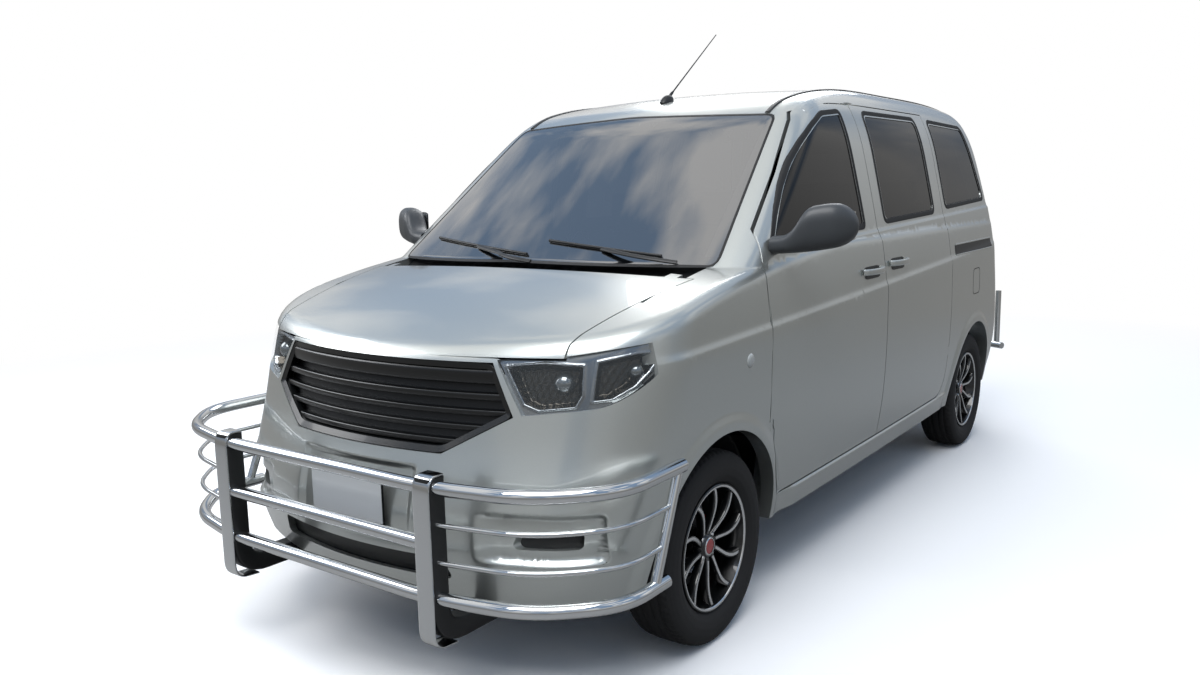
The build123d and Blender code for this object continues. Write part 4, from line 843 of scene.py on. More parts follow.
def split_triangles(tris: Array, kind: Array, middle: Array) -> tuple[Array, Array]:
    """Triangles cut at the middles of some of their edges.

    Args:
        tris: corner indices.
        kind: tag of each triangle, handed on to its pieces.
        middle: index of the middle point of edges ab, bc and ca, or minus one.

    Returns:
        New triangles and tags.
    """
    cuts = (middle >= 0).sum(axis=1)
    start = np.where(cuts == 1, (middle >= 0).argmax(axis=1),
                     np.where(cuts == 2, (middle < 0).argmax(axis=1), 0))
    order = (start[:, None] + np.arange(3)) % 3
    t, m = np.take_along_axis(tris, order, 1), np.take_along_axis(middle, order, 1)
    patterns = {0: [(0, 1, 2)], 1: [(0, 3, 2), (3, 1, 2)], 2: [(2, 5, 4), (0, 1, 4), (0, 4, 5)],
                3: [(0, 3, 5), (3, 1, 4), (5, 4, 2), (3, 4, 5)]}
    six = np.concatenate([t, m], axis=1)
    made, tags = [], []
    for number, pieces in patterns.items():
        rows = cuts == number
        for piece in pieces:
            made.append(six[rows][:, piece])
            tags.append(kind[rows])
    return np.concatenate(made), np.concatenate(tags)


@dataclass(frozen=True)
class Panel:
    """A body panel: the node's outer faces laid on the skin, its inner faces in cabin trim.

    Attributes:
        node: construction node.
        body: body it rides on.
        outer: finish of skin and edges.
        inner: finish of the inner faces.
        slot: record slot.
        limit: greatest edge length of the skin.
    """

    node: str
    body: str = "body"
    outer: Finish = PAINT
    inner: Finish = TRIM
    slot: str = "silver_paint"
    limit: float = 0.028

    def build(self) -> bpy.types.Object:
        """Make the panel.

        Returns:
            The object that stands for the node.
        """
        fine = Facets.of_node(self.node).refined(self.limit)
        verts = fine.verts.copy()
        used = np.unique(fine.tris[fine.kind == 1])
        verts[used] = HULL.settle(verts[used])
        corner = verts[fine.tris]
        facing = unit(np.cross(corner[:, 1] - corner[:, 0], corner[:, 2] - corner[:, 0]))
        normals = np.repeat(facing[:, None], 3, axis=1)
        outside, inside = fine.kind == 1, fine.kind == -1
        normals[outside] = unit(HULL.slope(corner[outside]))
        normals[inside] = -unit(HULL.slope(corner[inside], smooth=False))
        made = mesh_object(f"{self.node}_skin", verts, fine.tris, [self.outer, self.inner],
                           (fine.kind == -1).astype(int), normals.reshape(-1, 3))
        return place(made, self.body, self.slot, self.node)


@dataclass(frozen=True)
class Pane:
    """Glass: the outer faces of a node as one sheet, a little below the skin.

    Attributes:
        node: construction node.
        body: body it rides on.
        finish: glass.
        slot: record slot.
        depth: distance below the skin.
    """

    node: str
    body: str = "body"
    finish: Finish = SIDE_GLASS
    slot: str = "tinted_glass"
    depth: float = 0.003

    def build(self) -> bpy.types.Object:
        """Make the pane.

        Returns:
            The object that stands for the node.
        """
        fine = Facets.of_node(self.node).refined(0.028)
        tris = fine.tris[fine.kind == 1]
        used, back = np.unique(tris, return_inverse=True)
        tris = back.reshape(-1, 3)
        verts = HULL.settle(fine.verts[used], self.depth)
        normals = unit(HULL.slope(verts))[tris].reshape(-1, 3)
        made = mesh_object(f"{self.node}_pane", verts, tris, [self.finish], None, normals)
        return place(made, self.body, self.slot, self.node)


def evenly(path: Array, count: int, closed: bool = False) -> Array:
    """Points spaced evenly by length along a path.

    Args:
        path: points in order.
        count: how many points to give.
        closed: the last point joins the first.

    Returns:
        New points.
    """
    if closed:
        path = np.concatenate([path, path[:1]])
    length = np.concatenate([[0.0], np.cumsum(np.linalg.norm(np.diff(path, axis=0), axis=1))])
    where = np.linspace(0.0, length[-1], count, endpoint=not closed)
    return np.stack([np.interp(where, length, path[:, k]) for k in range(path.shape[1])], -1)


def rounded(points: list[tuple], radius: float, count: int = 200, closed: bool = True) -> Array:
    """Outline or route with its corners rounded: each corner is a parabola between its two sides.

    Args:
        points: corners in order, in two or three dimensions.
        radius: length of each side that a corner takes.
        count: how many points to give.
        closed: outline that returns to its start.

    Returns:
        Points spaced evenly.
    """
    p = np.array(points, float)
    before, after = np.roll(p, 1, axis=0), np.roll(p, -1, axis=0)
    t = np.linspace(0.0, 1.0, 9)[None, :, None]
    reach_b = np.minimum(radius, 0.49 * np.linalg.norm(before - p, axis=1))[:, None]
    reach_a = np.minimum(radius, 0.49 * np.linalg.norm(after - p, axis=1))[:, None]
    start, end = p + unit(before - p) * reach_b, p + unit(after - p) * reach_a
    bends = (1 - t) ** 2 * start[:, None] + 2 * t * (1 - t) * p[:, None] + t ** 2 * end[:, None]
    if closed:
        return evenly(bends.reshape(-1, p.shape[1]), count, True)
    inner = bends[1:-1].reshape(-1, p.shape[1])
    return evenly(np.concatenate([p[:1], inner, p[-1:]]), count)


def sweep(path: Array, profile: Array, up: Array, closed: bool = False) -> Array:
    """Grid of a profile carried along a path.

    Args:
        path: points in order.
        profile: closed outline as rows of sideways and upward distances.
        up: upward direction, one vector or one per point.
        closed: the path returns to its start.

    Returns:
        Rows along the path, columns round the profile.
    """
    if closed:
        ahead = np.roll(path, -1, axis=0) - np.roll(path, 1, axis=0)
    else:
        ahead = np.gradient(path, axis=0)
    ahead = unit(ahead)
    across = unit(np.cross(ahead, np.broadcast_to(up, path.shape)))
    rise = np.cross(across, ahead)
    return path[:, None] + profile[None, :, :1] * across[:, None] + profile[None, :, 1:] * rise[:, None]


def ring(radius: float, count: int = 20) -> Array:
    """Round profile.

    Args:
        radius: its radius.
        count: number of points.

    Returns:
        Closed outline.
    """
    a = np.linspace(0, 2 * np.pi, count, endpoint=False)
    return radius * np.stack([np.cos(a), np.sin(a)], -1)


def slab(wide: float, tall: float, power: float = 4.0, count: int = 24) -> Array:
    """Rounded rectangular profile, a superellipse.

    Args:
        wide: full width.
        tall: full height.
        power: squareness.
        count: number of points.

    Returns:
        Closed outline.
    """
    a = np.linspace(0, 2 * np.pi, count, endpoint=False)
    c, s = np.cos(a), np.sin(a)
    shape = np.stack([np.sign(c) * np.abs(c) ** (2 / power), np.sign(s) * np.abs(s) ** (2 / power)], -1)
    return shape * (wide / 2, tall / 2)


def capped(grid: Array) -> Array:
    """A swept grid with both ends closed to their middle points.

    Args:
        grid: rows along the path.

    Returns:
        Grid with two more rows at each end.
    """
    first, last = grid[:1], grid[-1:]
    close = lambda row: np.broadcast_to(row.mean(axis=1, keepdims=True), row.shape)
    return np.concatenate([close(first), first, grid, last, close(last)])


def offset_outline(outline: Array, distance: Array) -> Array:
    """Plane outlines moved outwards by distances.

    Args:
        outline: closed outline, turning left.
        distance: one distance for each wanted outline.

    Returns:
        Points by outline, then by distance.
    """
    ahead = unit(np.roll(outline, -1, axis=0) - np.roll(outline, 1, axis=0))
    out = np.stack([ahead[:, 1], -ahead[:, 0]], -1)
    area = cross2(outline, np.roll(outline, -1, axis=0)).sum()
    return outline[:, None] + np.sign(area) * out[:, None] * np.asarray(distance)[None, :, None]


@dataclass(frozen=True)
class Seal:
    """Rubber bead round a window, between the glass and the panel.

    Attributes:
        corners: corners of the window in side view, or in end view for a window of an end.
        radius: rounding of the corners.
        inner: width over the glass.
        outer: width over the panel.
    """

    corners: tuple
    radius: float
    inner: float = 0.018
    outer: float = 0.005

    def grid(self, side: Side | None, end: float = -1.0) -> Array:
        """Surface of the bead.

        Args:
            side: side of the vehicle, none for a window of an end.
            end: minus one for the front, one for the rear.

        Returns:
            Grid of points.
        """
        outline = rounded(list(self.corners), self.radius, 260)
        across = np.array([-self.inner, -self.inner + 0.001, -0.002, self.outer - 0.001, self.outer])
        lift = np.array([-0.0035, -0.0005, 0.0025, 0.0018, -0.001])
        flat = offset_outline(outline, across)
        if side is not None:
            return HULL.on_side(flat[..., 0], flat[..., 1], side, lift[None])
        return on_end(flat[..., 0], flat[..., 1], lift[None], end)


def on_end(x: Array, z: Array, lift: Array | float, end: float) -> Array:
    """Points of the front or rear skin from an end view.

    Args:
        x: distances to the left.
        z: heights.
        lift: height above the skin.
        end: minus one for the front, one for the rear.

    Returns:
        Points.
    """
    x, z = np.broadcast_arrays(np.asarray(x, float), np.asarray(z, float))
    p = np.stack([x, np.full(x.shape, 1.9 * end), z], -1)
    for _ in range(14):
        slope = np.maximum(end * HULL.slope(p)[..., 1], 0.25) * end
        p[..., 1] -= np.clip((HULL.skin(p) - lift) / slope, -0.2, 0.2)
    return p


@dataclass
class Bodywork:
    """Painted panels, glass and seals; the black cowl is dressed outside this class."""

    panels: tuple[Panel, ...] = (
        Panel("body_sides"), Panel("roof_panel"), Panel("front_fenders", inner=UNDERSEAL), Panel("hood", "hood"),
        Panel("front_bumper", inner=UNDERSEAL, limit=0.016), Panel("rear_bumper", inner=UNDERSEAL),
        Panel("front_door_left", "door_left"), Panel("front_door_right", "door_right"), Panel("sliding_doors"),
        Panel("tailgate", "tailgate"))
    panes: tuple[Pane, ...] = (
        Pane("side_glass"), Pane("tailgate_glass", "tailgate"),
        Pane("front_door_glass_left", "door_left"), Pane("front_door_glass_right", "door_right"))
    front_window: Seal = Seal(((0.372, 1.196), (0.457, 1.296), (0.551, 1.388), (0.653, 1.471), (0.763, 1.543),
                               (0.879, 1.605), (1.000, 1.656), (1.195, 1.674), (1.210, 1.216)), 0.030)
    sliding_window: Seal = Seal(((1.430, 1.226), (1.430, 1.680), (2.112, 1.684), (2.116, 1.246)), 0.045)
    quarter_window: Seal = Seal(((2.300, 1.262), (2.300, 1.684), (2.880, 1.674), (3.040, 1.290)), 0.045)
    shield: Seal = Seal(((-0.592, 1.643), (0.0, 1.664), (0.592, 1.643), (0.694, 1.140), (0.0, 1.150),
                         (-0.694, 1.140)), 0.030, 0.007, 0.004)
    tail_window: Seal = Seal(((-0.520, 1.235), (-0.495, 1.610), (0.495, 1.610), (0.520, 1.235)), 0.045, 0.032)

    def build(self) -> None:
        """Make all of the bodywork."""
        for piece in (*self.panels, *self.panes):
            piece.build()
        fixed = Builder()
        for side in Side:
            for seal in (self.sliding_window, self.quarter_window):
                fixed.grid(seal.grid(side), wrap_rows=True)
            made = Builder().grid(self.front_window.grid(side), wrap_rows=True)
            place(made.object(f"door_seal_{side.word}", [SEAL]), f"door_{side.word}", "black_plastic")
        fixed.grid(self.shield.grid(None), wrap_rows=True)
        self.windshield()
        place(fixed.object("window_seals", [SEAL]), "body", "black_plastic")
        made = Builder().grid(self.tail_window.grid(None, 1.0), wrap_rows=True).object("tail_seal", [SEAL])
        place(made, "tailgate", "black_plastic")

    def windshield(self) -> None:
        """Windshield: rings from its outline in end view to its middle, laid a little above the skin."""
        outline = rounded(list(self.shield.corners), self.shield.radius, 260)
        share = np.linspace(1, 0.001, 26)[None, :, None]
        flat = outline.mean(axis=0) * (1 - share) + outline[:, None] * share
        verts = on_end(flat[..., 0], flat[..., 1], 0.0012, -1.0)
        faces = grid_faces(*flat.shape[:2], wrap_rows=True)
        verts = verts.reshape(-1, 3)
        normals = unit(HULL.slope(verts))[faces].reshape(-1, 3)
        made = mesh_object("windshield_pane", verts, faces, [SHIELD_GLASS], None, normals)
        place(made, "body", "tinted_glass", "windshield")


def dress_node(name: str, finish: Finish, bevel: float = 0.0) -> None:
    """Give a construction node its finish and smooth it by modifiers.

    Args:
        name: node name.
        finish: material.
        bevel: width of rounded edges.
    """
    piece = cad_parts[name]
    piece.data.materials.clear()
    piece.data.materials.append(finish.material())
    piece.data.polygons.foreach_set("use_smooth", np.ones(len(piece.data.polygons), bool))
    weld = piece.modifiers.new("weld", "WELD")
    weld.merge_threshold = 0.00002
    if bevel:
        round_off = piece.modifiers.new("round", "BEVEL")
        round_off.width = bevel
        round_off.segments = 3
        round_off.limit_method = "ANGLE"
        round_off.angle_limit = np.radians(40)
    split = piece.modifiers.new("edges", "EDGE_SPLIT")
    split.split_angle = np.radians(35)


@dataclass(frozen=True)
class Wheel:
    """Tyre and thin-spoked alloy wheel.

    Attributes:
        side: side of the vehicle.
        axle: front or rear, as node names spell it.
        y: place of the axle.
        spokes: number of spokes.
    """

    side: Side
    axle: str
    y: float
    spokes: int = 10

    def turned(self, across: Array, radius: Array, angle: Array) -> Array:
        """Points from wheel coordinates.

        Args:
            across: distance outwards from the middle plane.
            radius: distance from the axis.
            angle: turn from the top, rearwards.

        Returns:
            Points.
        """
        across, radius, angle = np.broadcast_arrays(across, radius, angle)
        return np.stack([self.side.value * (TRACK_HALF + across), self.y + radius * np.sin(angle),
                         AXLE_HEIGHT + radius * np.cos(angle)], -1)

    def lathe(self, profile: list[tuple], count: int = 96) -> Array:
        """Surface of revolution about the axle.

        Args:
            profile: rows of outward distance and radius.
            count: points round the axis.

        Returns:
            Grid, closed along its second parameter.
        """
        rows = np.array(profile, float)
        angle = np.linspace(0, 2 * np.pi, count, endpoint=False) * self.side.value
        return self.turned(rows[:, :1], rows[:, 1:], angle[None])

    def tyre(self) -> Builder:
        """Tyre with rounded shoulders, four grooves round it and slots across its shoulders.

        Returns:
            The grids.
        """
        section = np.array([(-0.066, 0.196), (-0.074, 0.205), (-0.0835, 0.222), (-0.0872, 0.243), (-0.0862, 0.262),
                            (-0.0815, 0.279), (-0.074, 0.291), (-0.064, 0.2965), (-0.035, 0.2995), (0.0, 0.3)])
        section = np.concatenate([section, (section * (-1, 1))[-2::-1]])
        row = np.linspace(0, len(section) - 1, 90)
        across = np.interp(row, np.arange(len(section)), section[:, 0])
        radius = np.interp(row, np.arange(len(section)), section[:, 1])
        angle = np.linspace(0, 2 * np.pi, 288, endpoint=False)
        a, t = across[:, None], angle[None]
        tread = smoothstep(0.286, 0.2935, radius)[:, None]
        groove = sum(np.exp(-((a - c) / 0.0032) ** 4) for c in (-0.046, -0.016, 0.016, 0.046))
        slot = np.exp(-((np.mod(t * 72 / (2 * np.pi) + a * 30, 1.0) - 0.5) / 0.13) ** 4)
        slot = slot * smoothstep(0.046, 0.052, np.abs(a))
        depth = np.clip(0.006 * groove + 0.004 * slot, 0, 0.006) * tread
        band = 0.0008 * np.exp(-((radius - 0.268) / 0.002) ** 2)[:, None] + 0 * t
        points = self.turned(a + np.sign(a) * band, radius[:, None] - depth, t * self.side.value)
        return Builder().grid(points, wrap_columns=True)

    def spoke(self, number: int) -> tuple[Array, Array]:
        """One curved spoke: a black blade and the machined face along its middle.

        Args:
            number: which spoke.

        Returns:
            Grids of the blade and the face.
        """
        share = np.linspace(0, 1, 28)
        radius = 0.030 + share * 0.152
        angle = (number / self.spokes) * 2 * np.pi + 0.22 * np.sin(share * np.pi * 0.9) * (1 - 0.2 * share)
        dish = 0.058 - 0.014 * (1 - share) ** 2 + 0.008 * share
        half = 0.0085 + 0.004 * np.abs(share - 0.35)
        v = np.array([-1, -1, -0.75, 0.75, 1, 1])
        drop = np.array([-0.022, -0.005, 0, 0, -0.005, -0.022])
        blade = self.turned(dish[:, None] + drop[None], radius[:, None],
                            (angle[:, None] + half[:, None] * v[None] / radius[:, None]) * self.side.value)
        v = np.linspace(-0.46, 0.46, 4)
        keep = share > 0.10
        face = self.turned(dish[keep, None] + 0.0006 + 0 * v, radius[keep, None],
                           (angle[keep, None] + half[keep, None] * v / radius[keep, None]) * self.side.value)
        return blade, face

    def build(self) -> None:
        """Make tyre, rim, spokes, hub, nuts and brake disc."""
        body, tag = f"{self.axle}_wheel_{self.side.word}", f"{self.axle}_{self.side.word}"
        place(self.tyre().object(f"tyre_{tag}_tread", [TYRE]), body, "tyre_rubber", f"tyre_{tag}")
        rim = Builder()
        rim.grid(self.lathe([(0.066, 0.1965), (0.0735, 0.1965), (0.0755, 0.1945), (0.0755, 0.1915)]), wrap_columns=True)
        rim.grid(self.lathe([(0.0755, 0.1915), (0.0748, 0.1865), (0.0725, 0.1845)]), 1, wrap_columns=True)
        rim.grid(self.lathe([(0.0725, 0.1845), (0.060, 0.181), (0.040, 0.175), (0.0, 0.168), (-0.050, 0.176),
                             (-0.0755, 0.184), (-0.0755, 0.1965), (-0.066, 0.1965)]), wrap_columns=True)
        rim.grid(self.lathe([(0.020, 0.0), (0.020, 0.052), (-0.030, 0.052), (-0.030, 0.060)], 48), wrap_columns=True)
        rim.grid(self.lathe([(0.052, 0.0265), (0.0535, 0.032), (0.049, 0.036), (0.036, 0.044), (0.020, 0.046)], 48),
                 wrap_columns=True)
        rim.grid(self.lathe([(0.0530, 0.0), (0.0540, 0.018), (0.0532, 0.0235), (0.050, 0.025)], 40), 2, wrap_columns=True)
        rim.grid(self.lathe([(0.0545, 0.0240), (0.0550, 0.0262), (0.0530, 0.0285)], 40), 1, wrap_columns=True)
        rim.grid(self.lathe([(-0.025, 0.055), (-0.025, 0.100), (-0.041, 0.100), (-0.041, 0.030)], 64), 3,
                 wrap_columns=True)
        for number in range(self.spokes):
            blade, face = self.spoke(number)
            rim.grid(blade).grid(face, 1)
        for number in range(4):
            turn = (number + 0.5) * np.pi / 2
            centre = self.turned(np.array(0.030), np.array(0.040), np.array(turn))
            a = np.linspace(0, 2 * np.pi, 6, endpoint=False)
            out = np.array([(0.0, 0.008), (0.016, 0.008), (0.018, 0.006), (0.018, 0.0)])
            nut = np.stack([self.side.value * out[:, :1] + 0 * a, out[:, 1:] * np.cos(a), out[:, 1:] * np.sin(a)], -1)
            rim.grid(centre + nut, 1, wrap_columns=True)
        made = rim.object(f"wheel_{tag}_alloy", [ALLOY_BLACK, ALLOY_CUT, RED_PAINT, CAST])
        place(made, body, "wheel_alloy", f"wheel_{tag}")


@dataclass(frozen=True)
class FrontGuard:
    """Polished tubes on two uprights, with a wing of tubes round each corner."""

    y: float = -2.233
    post_x: float = 0.427
    wide: float = 0.872

    def wing(self, height: float, end: float) -> list[tuple]:
        """Route of a tube from the upright to the end of the wing.

        Args:
            height: height of the tube.
            end: station of its end.

        Returns:
            Corners of the route.
        """
        return [(self.post_x, self.y, height), (0.700, self.y + 0.060, height),
                (self.wide, self.y + 0.230, height), (self.wide, at(end), height)]

    def build(self) -> None:
        """Make the tubes and the uprights."""
        steel = Builder()
        for height, end in ((0.655, -0.330), (0.362, -0.420)):
            left = self.wing(height, end)
            hoop = rounded([(-x, y, z) for x, y, z in reversed(left)] + left, 0.10, 170, False)
            steel.rod(hoop, ring(0.019), UP)
        across = np.linspace((-self.post_x, self.y, 0.505), (self.post_x, self.y, 0.505), 12)
        steel.grid(sweep(across, ring(0.019), UP), wrap_columns=True)
        for side in Side:
            mirror = np.array((side.value, 1.0, 1.0))
            for height, end in ((0.460, -0.438), (0.560, -0.400)):
                rod = rounded(self.wing(height, end), 0.10, 70, False) * mirror
                steel.grid(sweep(rod, ring(0.007, 12), UP), wrap_columns=True)
            post = np.linspace((self.wide, at(-0.349), 0.655), (self.wide, at(-0.475), 0.362), 8) * mirror
            steel.grid(sweep(post, ring(0.014), np.array((0.0, 1.0, 0.0))), wrap_columns=True)
        rubber = Builder()
        for side in Side:
            x = side.value * self.post_x
            aside = np.array((1.0, 0.0, 0.0))
            path = rounded([(x, self.y + 0.012, 0.680), (x, self.y + 0.012, 0.258), (x, at(-0.575), 0.257)],
                           0.085, 80, False)
            rubber.rod(path, slab(0.058, 0.056, 8), aside)
            face = rounded([(x, self.y + 0.034, 0.685), (x, self.y - 0.019, 0.685), (x, self.y - 0.019, 0.232),
                            (x, self.y + 0.060, 0.226)], 0.045, 80, False)
            rubber.rod(face, slab(0.006, 0.058, 5), aside, 1)
        steel_piece = steel.object("front_guard_tubes", [CHROME])
        place(steel_piece, "body", "guard_steel", "front_guard")
        place(rubber.object("front_guard_uprights", [BLACK_PLASTIC, CHROME]), "body", "guard_steel")


def patch(across: Array, rows: int = 24, columns: int = 40) -> tuple[Array, Array]:
    """Parameter grid over a rectangle with rounded corners.

    Args:
        across: left, right, low and high edge.
        rows: points upwards.
        columns: points sideways.

    Returns:
        Sideways and upward places.
    """
    u, v = np.meshgrid(np.linspace(-1, 1, columns), np.linspace(-1, 1, rows))
    left, right, low, high = across
    wide, tall = (right - left) / 2, (high - low) / 2
    share = np.sqrt(np.clip(1 - np.abs(v) ** 8, 0, 1))
    reach = wide - min(wide, tall) * (1 - share)
    return (left + right) / 2 + u * reach, (low + high) / 2 + v * tall


def inside(x: Array, z: Array, corners: tuple[tuple[float, float], ...]) -> Array:
    """Depth of points inside a convex outline: the least distance to its edges, negative outside.

    Args:
        x: sideways places.
        z: heights.
        corners: corners against the clock.

    Returns:
        Depths in metres.
    """
    start = np.array(corners)
    edge = unit(np.roll(start, -1, axis=0) - start)
    gap = np.stack([x, z], -1)[:, None] - start
    return np.min(edge[:, 0] * gap[..., 1] - edge[:, 1] * gap[..., 0], axis=1)


@dataclass(frozen=True)
class Headlamps:
    """Clear covers over a bright housing with two dark chambers a side.

    Attributes:
        chambers: outline of each chamber in front view, against the clock.
        bulbs: middle and radius of the ball lens in each chamber.
    """

    chambers: tuple[tuple[tuple[float, float], ...], ...] = (
        ((0.522, 0.826), (0.560, 0.812), (0.650, 0.822), (0.662, 0.850), (0.656, 0.926), (0.560, 0.931),
         (0.462, 0.922)),
        ((0.690, 0.836), (0.728, 0.840), (0.765, 0.868), (0.786, 0.905), (0.796, 0.950), (0.760, 0.951),
         (0.690, 0.935)))
    bulbs: tuple[tuple[float, float, float], ...] = ((0.592, 0.872, 0.030), (0.735, 0.898, 0.022))

    def build(self) -> None:
        """Make covers, housings and bulbs."""
        fine = Facets.of_node("headlamps").refined(0.005)
        tris = fine.tris[fine.kind == 1]
        used, back = np.unique(tris, return_inverse=True)
        tris, base = back.reshape(-1, 3), HULL.settle(fine.verts[used])
        x, z = np.abs(base[:, 0]), base[:, 2]
        deep = np.maximum(*[inside(x, z, corners) for corners in self.chambers])
        bowl = smoothstep(-0.004, 0.012, deep)
        flutes = 0.0022 * np.cos(x * 2 * np.pi / 0.018) * np.cos(z * 2 * np.pi / 0.040) * bowl
        housing = HULL.settle(base, 0.012 + 0.036 * bowl + flutes - 0.006 * np.exp(-(deep / 0.004) ** 2))
        slots = (deep[tris].mean(axis=1) > 0.003).astype(int)
        made = mesh_object("headlamp_housings", housing, tris, [REFLECTOR, LAMP_CHAMBER], slots)
        place(made, "body", "lamp_lens")
        normals = unit(HULL.slope(base))[tris].reshape(-1, 3)
        cover = mesh_object("headlamp_covers", base, tris, [LENS], None, normals)
        place(cover, "body", "lamp_lens", "headlamps")
        balls = Builder()
        t = np.linspace(0, np.pi, 16)[:, None]
        a = np.linspace(0, 2 * np.pi, 32, endpoint=False)[None]
        ball = np.stack([np.sin(t) * np.cos(a), -np.cos(t) + 0 * a, np.sin(t) * np.sin(a)], -1)
        for side in Side:
            for cx, cz, radius in self.bulbs:
                foot = on_end(np.array([cx]), np.array([cz]), -0.046, -1.0)[0]
                balls.grid((foot + radius * ball) * (side.value, 1, 1), wrap_columns=True)
        place(balls.object("headlamp_bulbs", [BULB]), "body", "lamp_lens")


@dataclass(frozen=True)
class TailLamps:
    """Red covers over a bright housing, with a clear lower third."""

    def build(self) -> None:
        """Make covers and housings."""
        fine = Facets.of_node("tail_lamps").refined(0.014)
        tris = fine.tris[fine.kind == 1]
        used, back = np.unique(tris, return_inverse=True)
        tris, base = back.reshape(-1, 3), HULL.settle(fine.verts[used])
        height = base[tris].mean(axis=1)[:, 2]
        normals = unit(HULL.slope(base))[tris].reshape(-1, 3)
        clear = (height > 0.955) & (height < 1.020)
        cover = mesh_object("tail_lamp_covers", base, tris, [RED_LENS, LENS], clear.astype(int), normals)
        place(cover, "body", "red_lens", "tail_lamps")
        ribs = 0.024 + 0.003 * np.cos(base[:, 2] * 2 * np.pi / 0.012)
        place(mesh_object("tail_lamp_housings", HULL.settle(base, ribs), tris, [REFLECTOR]), "body", "red_lens")


@dataclass(frozen=True)
class Grille:
    """Six-sided black grille with five bars, the topmost broad.

    Attributes:
        rows: height, tallness and depth below the skin of each bar.
    """

    rows: tuple[tuple[float, float, float], ...] = (
        (0.712, 0.017, 0.016), (0.752, 0.017, 0.016), (0.793, 0.017, 0.016), (0.836, 0.020, 0.013),
        (0.889, 0.040, 0.008))

    def half(self, z: Array) -> Array:
        """Half width of the opening.

        Args:
            z: heights.

        Returns:
            Half widths.
        """
        return np.interp(z, [0.682, 0.790, 0.930], [0.306, 0.500, 0.424])

    def build(self) -> None:
        """Make back plate, bars and rim."""
        made = Builder()
        z = np.linspace(0.686, 0.926, 12)[:, None]
        x = np.linspace(-1, 1, 50)[None] * (self.half(z) - 0.002)
        made.grid(on_end(x, z, -0.042, -1.0)[:, ::-1], 1)
        for height, tall, sink in self.rows:
            reach = float(self.half(np.array(height))) - 0.012
            along = np.linspace(-reach, reach, 90)
            path = on_end(along, np.full(90, height), -sink - 0.015, -1.0)
            made.rod(path, slab(0.030, tall, 5))
        hexagon = rounded([(-0.424, 0.930), (0.424, 0.930), (0.500, 0.790), (0.306, 0.682), (-0.306, 0.682),
                           (-0.500, 0.790)], 0.025, 260)
        flat = offset_outline(hexagon, np.array([-0.020, -0.019, -0.003, -0.0015, -0.0015]))
        lift = np.array([-0.030, -0.008, -0.002, -0.004, -0.030])
        made.grid(on_end(flat[..., 0], flat[..., 1], lift[None], -1.0)[:, ::-1], wrap_rows=True)
        place(made.object("grille_bars", [GLOSS_BLACK, BLACK_PLASTIC]), "body", "black_plastic", "grille")


@dataclass(frozen=True)
class FrontFittings:
    """Blank plate, fog pockets and lower intake of the front bumper."""

    def build(self) -> None:
        """Make the fittings."""
        # Black plates set just behind the fog pockets and the lower intake: painted shade for the insides of these
        # slots
        dark = Builder()
        for side in Side:
            x, z = patch((0.515, 0.715, 0.435, 0.500), 16, 30)
            dark.grid(on_end(x, z, -0.020, -1.0) * (side.value, 1, 1))
        x, z = patch((-0.370, 0.370, 0.330, 0.412), 14, 60)
        dark.grid(on_end(x, z, -0.024, -1.0))
        place(dark.object("bumper_slots", [BLACK_PLASTIC]), "body", "black_plastic")
        plate = Builder()
        u, v = np.meshgrid(np.linspace(-0.150, 0.150, 8), np.linspace(-0.075, 0.075, 6))
        front = float(on_end(np.array([0.0]), np.array([0.54]), 0.016, -1.0)[0, 1])
        for depth, slot in ((0.0, 0), (0.004, 1)):
            grow = 1.0 + depth * 9
            plate.grid(np.stack([u * grow, np.full(u.shape, front + depth), 0.540 + v * grow], -1), slot)
        place(plate.object("front_plate", [PLATE, BLACK_PLASTIC]), "body", "grey_plastic")


@dataclass(frozen=True)
class DoorMirror:
    """Dark grey housing on a short foot, with its glass facing back.

    Attributes:
        side: side of the vehicle.
    """

    side: Side

    def build(self) -> None:
        """Make housing and glass."""
        t = np.concatenate([np.linspace(0, 0.9, 30), 1 - 0.1 * np.linspace(1, 0, 14)[1:] ** 2])
        x = 0.790 + 0.242 * t
        middle_s = np.interp(t, [0, 0.25, 0.5, 1], [0.396, 0.404, 0.435, 0.490])
        half_s = np.interp(t, [0, 0.25, 0.5, 0.8, 1], [0.046, 0.050, 0.061, 0.056, 0.045])
        low = Curve.through(np.array([0, 0.3, 0.6, 1]), np.array([1.168, 1.172, 1.180, 1.200]))(t)
        high = Curve.through(np.array([0, 0.18, 0.30, 0.42, 0.55, 0.78, 1]),
                             np.array([1.226, 1.232, 1.256, 1.306, 1.323, 1.326, 1.308]))(t)
        middle_z, half_z = (low + high) / 2, (high - low) / 2
        close = np.clip(1 - np.clip((t - 0.72) / 0.28, 0, 1) ** 2.6, 0, 1) ** 0.5
        a = np.linspace(0, 2 * np.pi, 56, endpoint=False)
        c, s = np.cos(a), np.sin(a)
        shape_s, shape_z = np.sign(c) * np.abs(c) ** 0.72, np.sign(s) * np.abs(s) ** 0.72
        grid = np.stack([np.broadcast_to(x[:, None], (len(t), 56)),
                         at(middle_s[:, None] + (half_s * close)[:, None] * shape_s),
                         middle_z[:, None] + (half_z * close)[:, None] * shape_z], -1)
        made = Builder().grid(grid * (self.side.value, 1, 1), wrap_columns=True)
        u, v = np.meshgrid(np.linspace(0.888, 1.004, 10), np.linspace(-1, 1, 10))
        back = at(np.interp(u, [0.888, 1.004], [0.496, 0.540]))
        glass = np.stack([u, back, 1.254 + 0.052 * v * np.sqrt(1 - ((u - 0.946) / 0.08) ** 4)], -1)
        made.grid(glass * (self.side.value, 1, 1), 1)
        place(made.object(f"mirror_{self.side.word}_housing", [GREY_PLASTIC, MIRROR]), f"door_{self.side.word}",
              "grey_plastic", f"mirror_{self.side.word}")


